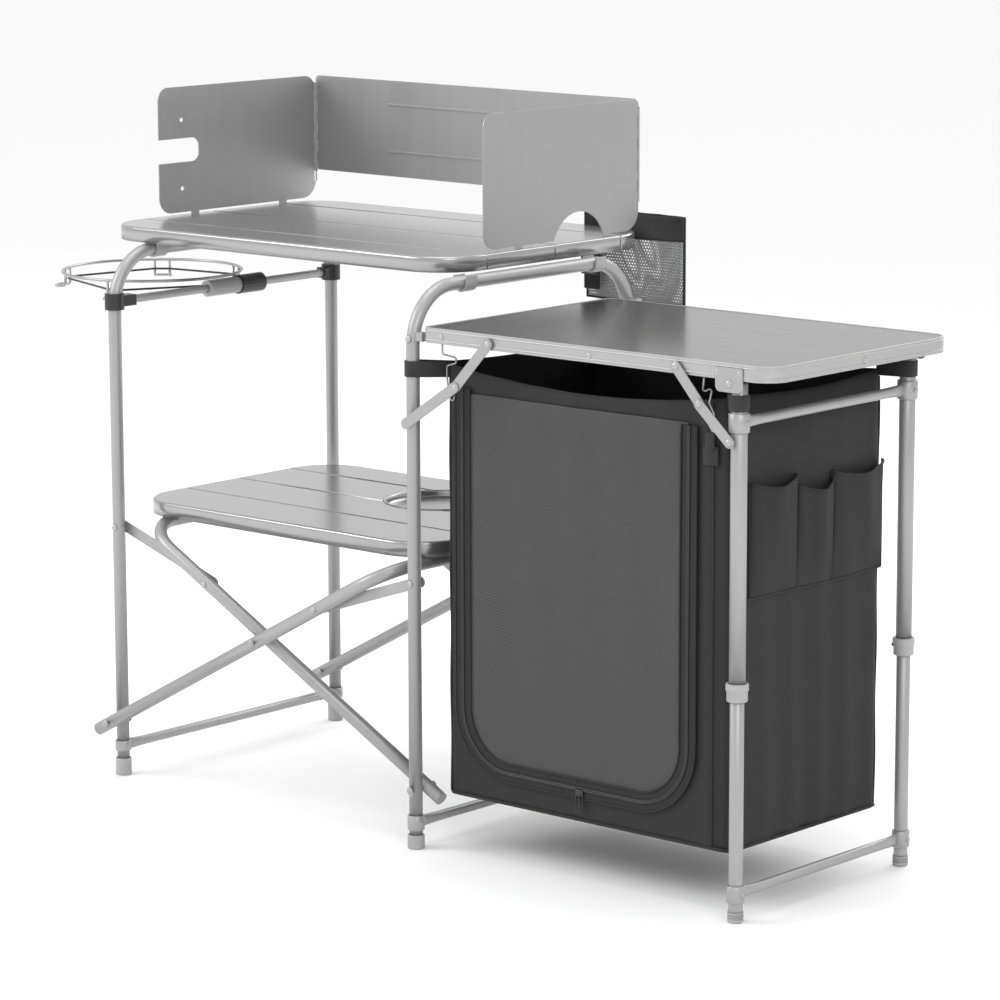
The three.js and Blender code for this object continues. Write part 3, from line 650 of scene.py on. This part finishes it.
# telescopic legs: a wide upper tube, open below, over a narrower lower one
split, legTop = sideLegs["split"], sideLegs["top"]
collarLow, collarHigh = split - 0.009, split + 0.015
upper = [(axisGap, legTop - 0.004), (0.0099, legTop - 0.004), (0.0099, split), (0.0110, split),
         (0.0110, legTop - 0.001), (0.0100, legTop), (axisGap, legTop)]
lower = [(axisGap, 0.0044), (0.0093, 0.0044), (0.0095, 0.005), (0.0095, split + 0.157),
         (axisGap, split + 0.158)]
collar = [(0.0101, collarLow), (0.0132, collarLow), (0.0140, collarLow + 0.0008),
          (0.0140, collarLow + 0.0135), (0.0152, collarLow + 0.0145), (0.0152, collarHigh - 0.0008),
          (0.0144, collarHigh), (0.0114, collarHigh), (0.0114, split - 0.0003),
          (0.0101, split - 0.0003), (0.0101, collarLow)]
for side, y in zip(("front", "rear"), sideYs):
    for name, profile, finish, body, node in (
            ("upperLeg", upper, "tube", "side_legs", "upper"),
            ("lowerLeg", lower, "tube", "lower_legs", "lower"),
            ("legCollar", collar, "grey", "side_legs", "collar")):
        piece(f"{name}_{side}", [turned(profile, (sideX, y, 0))], finish, body, [f"side_leg_{side}_{node}"])

# rivets down the legs, on the table's rim, at the braces' pins, and where the links meet the scissor arms
frontFace, braceFace, lowBraceFace = -0.036, -0.0402, -0.0422
linkRivet, rimRivetZ = 0.377, 0.7265
linkReach = 0.488  # from a scissor arm's pin to where its link meets it
linkX = linkReach * math.cos(armSlope)
linkZ = crossTube["pinZ"] + linkReach * crossTube["rise"] / crossTube["reach"]
rightRivets = [rivet((rightX, rightYs[0] - tube["radius"], z), toFront, "leg")
               for z in (0.718, 0.602, linkRivet, 0.080)]
rightRivets += [rivet((x, frontFace, rimRivetZ), toFront, "rim") for x in (0.679, 0.940, 1.154, 1.190)]
rightRivets += [rivet((1.242, 0.163, rimRivetZ), toRight, "rim"),
                rivet((1.174, -0.0379, 0.712), toFront, "hinge")]
rightRivets += [rivet((x, braceFace, z), toFront, "pin")
                for x, z in ((0.766, 0.725), (0.707, 0.661), (1.088, 0.727))]
leftRivets = [rivet((0, y - tube["radius"], linkRivet), toFront, "leg") for y in leftYs]
braceRivets = [rivet((x, lowBraceFace, z), toFront, "pin") for x, z in ((1.178, 0.637), (1.128, 0.682))]
armRivetsA = [rivet((linkX, rightYs[0] - tube["radius"], linkZ), toFront, "leg")]
armRivetsB = [rivet((rightX - linkX, leftYs[0] - tube["radius"], linkZ), toFront, "leg")]
for name, heads, body in (
        ("rightRivets", rightRivets, "right_stand"), ("leftRivets", leftRivets, "left_stand"),
        ("braceRivets", braceRivets, "right_brace_lower"), ("armRivetsA", armRivetsA, "scissor_a"),
        ("armRivetsB", armRivetsB, "scissor_b")):
    piece(name, heads, "rim", body)
print("tubes made")


# side table rim: raised beads round the outside

rimPlan = {"x": (0.645, 1.242), "y": (-0.036, 0.361), "near": 0.010, "far": 0.034, "beads": (0.7215, 0.7340),
           "bead": 0.0011}


# an outline with rounded corners, drawn in by an inset; every inset has the same number of points
def roundedOutline(x, y, radii, inset=0.0, steps=10):
    corners = ((x[0], y[0], 1, 1, math.pi), (x[1], y[0], -1, 1, 1.5 * math.pi), (x[1], y[1], -1, -1, 0),
               (x[0], y[1], 1, -1, 0.5 * math.pi))
    points = []
    for (cx, cy, east, north, start), radius in zip(corners, radii):
        r = max(radius - inset, 0.0004)
        a = start + np.linspace(0, math.pi / 2, steps + 1)
        middle = (cx + east * (inset + r), cy + north * (inset + r))
        points.append(np.stack([middle[0] + r * np.cos(a), middle[1] + r * np.sin(a)], axis=1))
    return np.concatenate(points)


def rimBeads():
    near, far = rimPlan["near"], rimPlan["far"]
    line = roundedOutline(rimPlan["x"], rimPlan["y"], (near, far, far, near))
    shells = [sweep(pointsOf(*line.T, z), circle(rimPlan["bead"], 10), upward, closed=True)
              for z in rimPlan["beads"]]
    piece("rimBeads", shells, "rim", "right_stand")


rimBeads()


# slats: folded pans with rolled edges, open below

topPlan = {"x": (-0.092, 0.602), "front": 0.062, "widths": (0.084, 0.146, 0.146, 0.078), "corner": 0.072,
           "top": 0.817}
shelfPlan = {"x": (0.002, 0.590), "front": 0.026, "widths": (0.108, 0.112, 0.112, 0.084), "corner": 0.074,
             "top": 0.4185}
pan = {"high": 0.022, "roll": 0.0040, "sheet": 0.002, "gap": 0.0003, "sharp": 0.002}
dishPlan = {"place": (0.366, 0.304), "radius": 0.080, "depth": 0.010}


# rings of one outline: up the inside, round the lower edge, up the outside, and over a quarter-circle roll
def slatShell(x, y, radii, top):
    a = np.linspace(0, math.pi / 2, 6)
    low = top - pan["high"]
    steps = [(pan["sheet"], top - pan["sheet"]), (pan["sheet"], low), (0, low)]
    steps += [(pan["roll"] * (1 - math.cos(t)), top - pan["roll"] * (1 - math.sin(t))) for t in a]
    rings = []
    for inset, z in steps:
        rings.append(pointsOf(*roundedOutline(x, y, radii, inset).T, z))
    rings = np.stack(rings)
    rows, cols = rings.shape[:2]
    faces, flat = gridFaces(rows, cols, wrapCols=True)
    uv = np.concatenate([(flat * (0.003, 0.002)).reshape(-1, 2), np.zeros((2 * cols, 2))])
    smooth = [False] * (2 * cols) + [True] * (len(faces) - 2 * cols) + [False] * 2
    return shell(rings, faces.tolist() + endCaps(rows, cols), smooth, uv)


def slatRow(plan, label, body, dish=None):
    front = plan["front"]
    last = len(plan["widths"]) - 1
    for k, width in enumerate(plan["widths"]):
        rear = front + width - (pan["gap"] if k < last else 0)
        near = plan["corner"] if k == 0 else pan["sharp"]
        far = plan["corner"] if k == last else pan["sharp"]
        shells = [slatShell(plan["x"], (front, rear), (near, near, far, far), plan["top"])]
        slat = piece(f"{label}Slat{k + 1}", shells, "slat", body, [f"{label}_slat_{k + 1}"])
        if dish and rear > dish["place"][1] - dish["radius"]:
            sinkDish(slat, plan["top"], dish)
        front += width


# cuts the round recess for the dish out of a slat
def sinkDish(slat, top, dish):
    low, high, radius = top - dish["depth"] - 0.0018, top + 0.002, dish["radius"] + 0.0003
    profile = [(axisGap, low), (radius, low), (radius, high), (axisGap, high)]
    tool = turned(profile, (*dish["place"], 0), sides=96)
    mesh = bpy.data.meshes.new("recess")
    mesh.from_pydata((tool["verts"] + home).tolist(), [], tool["faces"])
    cutter = bpy.data.objects.new("recess", mesh)
    bpy.context.collection.objects.link(cutter)
    cut = slat.modifiers.new("recess", "BOOLEAN")
    cut.object, cut.operation, cut.solver = cutter, "DIFFERENCE", "EXACT"
    bpy.context.view_layer.objects.active = slat
    bpy.ops.object.modifier_apply(modifier="recess")
    bpy.data.objects.remove(cutter)


slatRow(topPlan, "main", "main_top")
slatRow(shelfPlan, "shelf", "shelf", dishPlan)


# the dish: a flat floor, a coved corner and a thin rolled lip
def dishPan():
    r, top, low = dishPlan["radius"], shelfPlan["top"], shelfPlan["top"] - dishPlan["depth"]
    a = np.linspace(0, math.pi / 2, 7)
    cove = [(r - 0.006 + 0.0045 * math.sin(t), low + 0.0045 * (1 - math.cos(t))) for t in a]
    profile = [(axisGap, low - 0.0015), (r - 0.003, low - 0.0015), (r - 0.0006, low + 0.002),
               (r, top - 0.0006), (r + 0.0024, top + 0.0003), (r + 0.0026, top + 0.0009),
               (r + 0.0002, top + 0.0012), (r - 0.0012, top + 0.0002)]
    profile += cove[::-1] + [(axisGap, low)]
    dish = turned(profile, (*dishPlan["place"], 0), sides=96)
    piece("dishPan", [dish], "slat", "shelf", ["shelf_dish"])


dishPan()
print("tops made")


# bag ring: a wire hoop with four hooks, and an elastic cord drawn inside them

ringPlan = {"centre": (-0.133, 0.205, 0.730), "radius": 0.136, "wire": 0.0023, "hookHalf": 0.085,
            "hookDrop": 0.026, "hookOut": 0.016,
            "hooks": (0.36 * math.pi, 0.72 * math.pi, 1.16 * math.pi, 1.62 * math.pi)}


def ringPoint(angle, radius, z):
    cx, cy, _ = ringPlan["centre"]
    return (cx + radius * math.cos(angle), cy + radius * math.sin(angle), z)


def bagRing():
    r, wire, z = ringPlan["radius"], ringPlan["wire"], ringPlan["centre"][2]
    a = np.linspace(0, 2 * math.pi, 97)[:-1]
    hoop = pointsOf(ringPlan["centre"][0] + r * np.cos(a), ringPlan["centre"][1] + r * np.sin(a), z)
    shells = [sweep(hoop, circle(wire, 14), upward, closed=True)]
    half, low, out = ringPlan["hookHalf"], z - ringPlan["hookDrop"], r + ringPlan["hookOut"]
    for angle in ringPlan["hooks"]:
        corners = [ringPoint(angle + way * half, reach, height) for way, reach, height in (
            (-1, r, z), (-1, r, low), (-1, out, low), (1, out, low), (1, r, low), (1, r, z))]
        route = bentPath(corners, 0.005, 5)
        # this leans along no stretch of the wire
        lean = (0.31 * math.cos(angle) + 0.2, 0.31 * math.sin(angle) - 0.15, 0.45)
        shells.append(sweep(route, circle(wire * 0.9, 12), lean))
    piece("bagRing", shells, "wire", "bag_ring", ["ring_wire"])


bagRing()

cordPlan = {"diameter": 0.0032, "drop": 0.014, "inside": 0.0045, "half": 0.1, "x": -0.015,
            "ends": (0.240, 0.204)}


def elasticCord():
    z = ringPlan["centre"][2] - cordPlan["drop"]
    r = ringPlan["radius"] - cordPlan["inside"]
    route = [(cordPlan["x"], cordPlan["ends"][0], z)]
    for angle in ringPlan["hooks"]:
        route += [ringPoint(angle - cordPlan["half"], r, z), ringPoint(angle + cordPlan["half"], r, z)]
    route.append((cordPlan["x"], cordPlan["ends"][1], z))
    path = resample(bentPath(route, 0.008, 6), 0.006)
    tubeShell = sweep(path, circle(cordPlan["diameter"] / 2, 12), upward)
    cord = piece("elasticCord", [tubeShell], "elastic", "bag_ring", ["elastic_cord"])


elasticCord()
print("ring made")


# cupboard: one sewn shell that bulges and sags, with a U-shaped net door

bag = {"x": (0.655, 1.150), "y": (0.0, 0.330), "z": (0.084, 0.688), "corner": 0.016, "frontSag": 0.020,
       "bulge": {"front": 0.003, "right": 0.008, "back": 0.001, "left": 0.003}, "cloth": 0.0012,
       "pitch": 0.0065, "packed": {"height": 0.7255, "keep": 0.02}}
doorPlan = {"x": (0.694, 1.078), "z": (0.134, 0.655), "corner": 0.078, "hem": 0.632}


# gives a piece of the bag its own copy of its mesh, and does nothing more to it
def gather(obj):
    middle = (sum(bag["x"]) / 2, sum(bag["y"]) / 2, bag["packed"]["height"])
    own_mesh(obj)


def bagPiece(name, shells, finish, stands=(), body="right_stand", **more):
    gather(piece(name, shells, finish, body, stands, **more))


# the bag's outline at one height, from a start on its front edge round to the same place
def bagRound(start, z):
    (x0, x1), (y0, y1) = bag["x"], bag["y"]
    return [(x0 + start, y0, z), (x1, y0, z), (x1, y1, z), (x0, y1, z), (x0, y0, z), (x0 + start, y0, z)]


# how far along the bag a place is, from 0 to 1
def bagShare(side, place):
    low, high = bag[side]
    return np.clip((place - low) / (high - low), 0, 1)


# 0 at both ends of 0..1 and 1 in the middle; a lower power makes it fuller
def arch(s, power=1):
    return np.sin(math.pi * s) ** power


# a smooth bump of height 1, fading over `width` on each side
def hump(distance, width):
    return np.exp(-(distance / width) ** 2)


# how far the front cloth stands out at (x, z): a low crown, hanging folds, and a roll under the top edge
def frontOut(x, z):
    s, t = bagShare("x", x), bagShare("z", z)
    crown = bag["bulge"]["front"] * arch(s) * arch(t, 0.6)
    folds = 0.0011 * np.sin(38 * s + 3 * t) * (0.35 + 0.65 * t) * arch(s, 0.5)
    fromEdge = x - bag["x"][1]
    edge = 0.0022 * hump(fromEdge + 0.035, 0.012) - 0.002 * hump(fromEdge + 0.020, 0.009)
    crease = 0.0028 * arch(s, 0.7) * np.sin(9.0 * s + 60.0 * (1 - t)) * hump(1 - t, 0.08)
    roll = 0.005 * hump(z - bag["z"][1] + 0.016, 0.014) * arch(s, 0.5)
    return crown + folds + edge + crease + roll


# the same for the right cloth at (y, z): a crown, a drape, one pulled ridge near the top, and hanging folds
def rightOut(y, z):
    s, t = bagShare("y", y), bagShare("z", z)
    crown = bag["bulge"]["right"] * arch(s, 0.8) * arch(t, 0.5)
    drape = 0.0035 * np.sin(2.2 * math.pi * s + 1.4 + 2.5 * t) * arch(s) * (0.4 + 0.6 * t)
    ridge = hump(t - 0.93 + 0.16 * s, 0.028) - 0.8 * hump(t - 0.87 + 0.10 * s, 0.035)
    pull = 0.0042 * ridge * arch(s, 0.5)
    hang = 0.0016 * np.sin(11 * math.pi * s + 3 * t) * (1 - t) ** 0.7 * arch(s)
    return crown + drape + pull + hang


# a point's place in the door outline: under 0 inside, over 0 outside, in metres
def doorEdge(x, z):
    x0, x1 = doorPlan["x"]
    z0, z1 = doorPlan["z"][0], bag["z"][1] + 0.05
    r = doorPlan["corner"]
    px = np.abs(x - (x0 + x1) / 2) - (x1 - x0) / 2 + r
    pz = np.where(z < (z0 + z1) / 2, np.abs(z - (z0 + z1) / 2) - (z1 - z0) / 2 + r, 0 * z)
    return np.hypot(np.maximum(px, 0), np.maximum(pz, 0)) + np.minimum(np.maximum(px, pz), 0) - r


# four walls from one outline, let out by the functions above and hung lower in the middle of each top edge,
# and a floor drawn in from the walls' lowest ring
def bagShell():
    (x0, x1), (y0, y1), (z0, z1) = bag["x"], bag["y"], bag["z"]
    path = resample(bentPath(bagRound(0.15, 0), bag["corner"], 8), bag["pitch"])[:-1]
    tangent = unit(np.roll(path, -1, 0) - np.roll(path, 1, 0))
    outward = np.cross(tangent, upward)
    t = np.linspace(0, 1, 94)[:, None]
    x, y = path[None, :, 0] + 0 * t, path[None, :, 1] + 0 * t
    s = (x - x0) / (x1 - x0)
    q = (y - y0) / (y1 - y0)
    onFront, onRight = np.clip(-outward[None, :, 1], 0, 1) ** 2, np.clip(outward[None, :, 0], 0, 1) ** 2
    onBack, onLeft = np.clip(outward[None, :, 1], 0, 1) ** 2, np.clip(-outward[None, :, 0], 0, 1) ** 2
    sag = onFront * bag["frontSag"] * arch(s, 0.8) + onBack * 0.012 * arch(s)
    sag = sag + onRight * 0.006 * arch(q) + onLeft * 0.006 * arch(q)
    belly = 0.006 * arch(s) * arch(q)
    z = z0 - belly + t * (z1 - sag - z0 + belly)
    out = onFront * frontOut(x, z) + onRight * rightOut(y, z)
    out = out + onBack * bag["bulge"]["back"] * arch(s) * arch(t)
    out = out + onLeft * bag["bulge"]["left"] * arch(q) * arch(t)
    wall = np.stack([x + outward[None, :, 0] * out, y + outward[None, :, 1] * out, z], axis=-1)

    def outsideDoor(c):
        onWall = c[:, 1] < y0 + 0.004
        return ~(onWall & (doorEdge(c[:, 0], c[:, 2]) < -0.004) & (c[:, 2] < doorPlan["hem"]))

    inner = np.linspace(1, 0.02, 26)[:, None, None]
    middle = wall[:1].mean(axis=1, keepdims=True)
    base = middle + (wall[:1] - middle) * inner
    base[..., 2] = z0 - 0.004 * (1 - inner[..., 0] ** 3)
    shells = [surface(wall, wrapCols=True, keep=outsideDoor), surface(base, wrapCols=True, flip=True)]
    bagPiece("bagShell", shells, "fabric", ["cupboard_bag"], solid=(bag["cloth"], -1), fixNormals=True)


bagShell()


# points of the front cloth at (x, z), standing a little proud of it
def onFrontCloth(x, z, proud):
    return pointsOf(x, bag["y"][0] - frontOut(x, z) - proud, z)


def netDoor():
    x = np.linspace(doorPlan["x"][0] - 0.002, doorPlan["x"][1] + 0.002, 110)
    z = np.linspace(doorPlan["z"][0] - 0.002, doorPlan["hem"] + 0.016, 140)
    net = surface(onFrontCloth(*np.meshgrid(x, z), 0.0022), keep=lambda c: doorEdge(c[:, 0], c[:, 2]) < 0.001)
    door = piece("netDoor", [net], "net", "right_stand", ["cupboard_door"])
    gather(door)


netDoor()


# the zip's U line on the cloth, let out by `grow`, from the top of one side round to the top of the other
def zipLine(grow, proud):
    x0, x1 = doorPlan["x"][0] - grow, doorPlan["x"][1] + grow
    z0, z1 = doorPlan["z"][0] - grow, doorPlan["z"][1]
    corners = [(x0, 0, z1), (x0, 0, z0), (x1, 0, z0), (x1, 0, z1 - 0.010)]
    line = resample(bentPath(corners, doorPlan["corner"] + grow, 20), 0.004)
    return onFrontCloth(line[:, 0], line[:, 2], proud)


def doorZip():
    bagPiece("zipTape", [sweep(zipLine(0.005, 0.0036), bandSection(0.025, 0.0012), toRear)], "tape")
    rows = []
    for offset in (0.0042, 0.0068):
        line = resample(zipLine(offset, 0.0050), 0.0016)
        pulse = 1 + 0.22 * np.cos(np.arange(len(line)) * math.pi)
        rows.append(sweep(line, circle(0.0014, 8), toRear, scale=pulse))
    bagPiece("zipTeeth", rows, "black")
    piping = [sweep(zipLine(grow, 0.0044), circle(0.0013, 8), toRear) for grow in (-0.0075, 0.0185)]
    bagPiece("zipPiping", piping, "fabric")


doorZip()


# the slider: a pinched body on the teeth, and two loops to pull it by
def zipSlider():
    x, y, z = 0.900, bag["y"][0] - 0.0075, doorPlan["z"][0] - 0.010
    spine = np.array([(x - 0.007, y, z), (x - 0.003, y - 0.0012, z), (x + 0.003, y - 0.0012, z),
                      (x + 0.007, y, z)])
    bridge = [(x - 0.004, y, z), (x - 0.004, y - 0.0030, z), (x + 0.004, y - 0.0030, z), (x + 0.004, y, z)]
    shells = [sweep(spine, bandSection(0.010, 0.0036), toRear, scale=(0.75, 1, 1, 0.75)),
              sweep(bentPath(bridge, 0.0015, 4), circle(0.0008, 8), (0.1, 0.1, 1))]
    for cx in (x - 0.0036, x + 0.0036):
        loop = roundedOutline((cx - 0.0026, cx + 0.0026), (z - 0.027, z - 0.003), (0.0024,) * 4, 0, 5)
        path = pointsOf(loop[:, 0], y - 0.0006, loop[:, 1])
        shells.append(sweep(path, circle(0.0009, 8), toRear, closed=True))
    bagPiece("zipPull", shells, "black", ["zip_slider"], body="zip_slider")


zipSlider()


# stitched seams: a thin raised cord down the corners and round the floor
def bagSeams():
    (x0, x1), (y0, y1), (z0, z1) = bag["x"], bag["y"], bag["z"]
    z = np.linspace(z0 + 0.002, z1 - 0.010, 60)
    shells = []
    inset = bag["corner"] * (1 - math.sqrt(0.5))
    for x, y, east, north in ((x1, y0, 1, -1), (x0, y0, -1, -1), (x1, y1, 1, 1), (x0, y1, -1, 1)):
        wave = 0.0007 * np.sin(z * 40 + x * 7)
        line = pointsOf(x - east * (inset - 0.0006) + wave * east, y - north * (inset - 0.0006), z)
        shells.append(sweep(line, circle(0.0017, 10), (east, -north, 0)))
    shells.append(sweep(onFrontCloth(x1 - 0.028 + 0 * z, z, 0.0002), circle(0.0014, 8), toRear))
    loop = resample(bentPath(bagRound(0.2, z0), 0.014, 8), 0.01)[:-1]
    shells.append(sweep(loop, circle(0.0024, 10), upward, closed=True))
    bagPiece("bagSeams", shells, "fabric")


bagSeams()


# three pockets on the right wall: each stands out towards its top and is sewn flat at its sides and foot
pockets = {"edges": (0.035, 0.130, 0.205, 0.327), "tops": (0.571, 0.557, 0.565), "foot": 0.418, "out": 0.014,
           "seamTop": 0.566, "cloth": 0.0012}


def onRightCloth(y, z, proud):
    return pointsOf(bag["x"][1] + rightOut(y, z) + proud, y, z)


def sidePockets():
    panels, seams = [], []
    for (ya, yb), top in zip(zip(pockets["edges"], pockets["edges"][1:]), pockets["tops"]):
        s = np.linspace(0, 1, 34)[None, :]
        t = np.linspace(0, 1, 46)[:, None]
        y = ya + (yb - ya) * s + 0 * t
        dip = 0.010 * arch(s, 0.8)
        z = pockets["foot"] + (top - dip - pockets["foot"]) * t
        rise = pockets["out"] * arch(s, 0.45) * t ** 0.6
        pleat = 0.0030 * np.sin(3 * math.pi * s + 1.0 + 2 * t) * t * arch(s)
        x = bag["x"][1] + rightOut(y, z) + 0.0016 + rise + pleat
        panel = pointsOf(x, y, z)
        panels.append(surface(panel))
        seams.append(sweep(panel[-1], circle(0.0019, 10), upward))
    foot = onRightCloth(np.linspace(0.012, bag["y"][1] - 0.004, 60), pockets["foot"], 0.0012)
    seams.append(sweep(foot, circle(0.0022, 10), upward))
    z = np.linspace(pockets["foot"], pockets["seamTop"], 30)
    seams += [sweep(onRightCloth(y, z, 0.0014), circle(0.0014, 8), toRear) for y in pockets["edges"]]
    bagPiece("sidePockets", panels, "fabric", solid=(pockets["cloth"], -1))
    bagPiece("pocketSeams", seams, "fabric")


sidePockets()


# a webbing strap: out from the bag's corner, round a leg and back
def strap(leg, corner, radius, z):
    leg, corner = np.array(leg), np.array(corner)
    away = unit(leg - corner)
    side = np.array([-away[1], away[0]])
    grip = radius + strapPlan["thick"]
    angle = np.linspace(-math.pi / 2, math.pi / 2, 18)[:, None]
    loop = leg + side * grip * np.sin(angle) + away * grip * np.cos(angle)
    apart = side * strapPlan["apart"]
    flat = np.concatenate([[corner - apart], loop, [corner + apart]])
    band = bandSection(strapPlan["wide"], strapPlan["thick"])
    return sweep(pointsOf(*flat.T, z), quarterTurn(band), upward)


strapPlan = {"wide": 0.022, "thick": 0.0016, "apart": 0.004, "cornerYs": (0.008, 0.326)}
standStraps = [strap((rightX, y), (0.662, cornerY), tube["radius"], 0.677)
               for y, cornerY in zip(rightYs, strapPlan["cornerYs"])]
piece("legStraps", standStraps, "webbing", "right_stand")
sideStraps = [strap((sideX, y), (1.142, cornerY), sideLegs["upper"], z)
              for y, cornerY, z in zip(sideYs, strapPlan["cornerYs"], (0.687, 0.690))]
webs = piece("sideLegStraps", sideStraps, "webbing", None)
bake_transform(webs)
print("cupboard made")


# inner shelf of the cupboard: a cloth panel that dips in the middle, bound along its front edge

shelfTop = 0.405


def innerShelf():
    (x0, x1), (y0, y1) = [(low + 0.008, high - 0.008) for low, high in (bag["x"], bag["y"])]
    s, q = np.meshgrid(np.linspace(0, 1, 50), np.linspace(0, 1, 36))
    dip = 0.006 * arch(s) * arch(q)
    top = pointsOf(x0 + (x1 - x0) * s, y0 + (y1 - y0) * q, shelfTop - dip)
    binding = pointsOf(np.linspace(x0, x1, 50), y0, shelfTop - 0.001)
    bagPiece("innerShelf", [surface(top)], "webbing", ["cupboard_shelf"], solid=(0.004, -1))
    bagPiece("shelfBinding", [sweep(binding, circle(0.003, 10), upward)], "webbing")


innerShelf()


# hooks and buckles that hold the cupboard's corners up

def wireHook(points):
    lean = (0.2, 0.93, 0.3)  # along no stretch of the wire
    return sweep(bentPath(points, 0.003, 4), circle(0.0013, 8), lean)


hooks = [
    wireHook([(0.676, -0.030, 0.716), (0.672, -0.026, 0.702), (0.692, -0.020, 0.698), (0.688, -0.016, 0.690),
              (0.668, -0.012, 0.684), (0.662, -0.006, 0.668), (0.664, -0.003, 0.640), (0.670, -0.003, 0.632),
              (0.674, -0.003, 0.642)]),
    wireHook([(1.128, -0.030, 0.716), (1.122, -0.026, 0.694), (1.134, -0.020, 0.702),
              (1.124, -0.014, 0.680), (1.128, -0.008, 0.664), (1.116, -0.006, 0.652),
              (1.124, -0.006, 0.640), (1.136, -0.006, 0.650)]),
]
bagPiece("cornerHooks", hooks, "wire")


def cornerPatch():
    x, z = np.meshgrid(np.linspace(1.108, 1.130, 10), np.linspace(0.596, 0.622, 12))
    tab = pointsOf(1.119, bag["y"][0] - 0.0055, np.linspace(0.618, 0.640, 12))
    shells = [surface(onFrontCloth(x, z, 0.0030)), sweep(tab, bandSection(0.014, 0.0016), toRear)]
    bagPiece("cornerPatch", shells, "webbing", solid=(0.0014, 0))


cornerPatch()


# pouch: a net bag under a stiff black band, hung behind the top

pouchPlan = {"x": (0.459, 0.645), "y": (0.520, 0.545), "z": (0.707, 0.838), "band": 0.803,
             "strapX": 0.482}
pouchMiddle = sum(pouchPlan["y"]) / 2


def pouchWall(x, z, side):
    (x0, x1), (z0, z1) = pouchPlan["x"], pouchPlan["z"]
    s, t = (x - x0) / (x1 - x0), (z - z0) / (z1 - z0)
    puff = 0.010 * arch(s, 0.6) * arch(np.clip(t, 0, 1), 0.7)
    ripple = 0.0016 * np.sin(26 * s + 9 * t) * arch(s)
    half = (0.004 + puff * 0.7 + 0.004 * t) * arch(np.clip(s, 0, 1), 0.35)
    return pouchMiddle + side * half + ripple


def pouch():
    (x0, x1), (z0, z1), band = pouchPlan["x"], pouchPlan["z"], pouchPlan["band"]
    nets, bands, hem = [], [], []
    for side, flip in ((-1, False), (1, True)):
        x, z = np.meshgrid(np.linspace(x0, x1, 60), np.linspace(z0, band + 0.002, 34))
        droop = 0.003 * np.sin(math.pi * (x - x0) / (x1 - x0)) * (z < z0 + 0.001)  # of the lowest row alone
        nets.append(surface(pointsOf(x, pouchWall(x, z, side), z - droop), flip=flip))
        x, z = np.meshgrid(np.linspace(x0, x1, 60), np.linspace(band, z1, 14))
        bands.append(surface(pointsOf(x, pouchWall(x, z, side) + side * 0.0008, z), flip=flip))
    piece("pouchNet", nets, "wideNet", "main_top", ["utensil_pouch"])
    x = np.linspace(x0 + 0.001, x1 - 0.001, 50)
    for z, radius in ((z0 + 0.001, 0.0016), (band, 0.0014)):
        for side in (-1, 1):
            hem.append(sweep(pointsOf(x, pouchWall(x, z, side), z), circle(radius, 8), upward))
    for x in (x0 + 0.001, x1 - 0.001):
        hem.append(sweep(pointsOf(x, pouchMiddle, np.linspace(z0, z1, 30)), circle(0.0022, 8), toRear))
    piece("pouchBand", bands, "webbing", "main_top", slot="mesh_fabric", solid=(0.0014, 0))
    piece("pouchHem", hem, "tape", "main_top", slot="mesh_fabric")


# the strap and buckle that clip the pouch to the rim
def pouchClip():
    x, y, top = pouchPlan["strapX"], pouchPlan["y"][0] - 0.004, 0.832
    webbing = bandSection(0.030, 0.002)
    belt = sweep(pointsOf(x, y, np.linspace(0.722, top, 24)), webbing, toRear)
    curl = bentPath([(x, y, top), (x, y, 0.835), (x, y + 0.0005, 0.836)], 0.001, 3)
    hook = sweep(curl, webbing, (0, 1, 0.2))
    spine = np.array([(x, y - 0.004, 0.744), (x, y - 0.0045, 0.766), (x, y - 0.004, 0.788)])
    piece("pouchStrap", [belt, hook], "tape", "main_top")
    piece("pouchBuckle", [sweep(spine, bandSection(0.034, 0.006, 12), toRear)], "black", "main_top",
          bevel=0.0008)


pouch()
pouchClip()
print("pouch made")
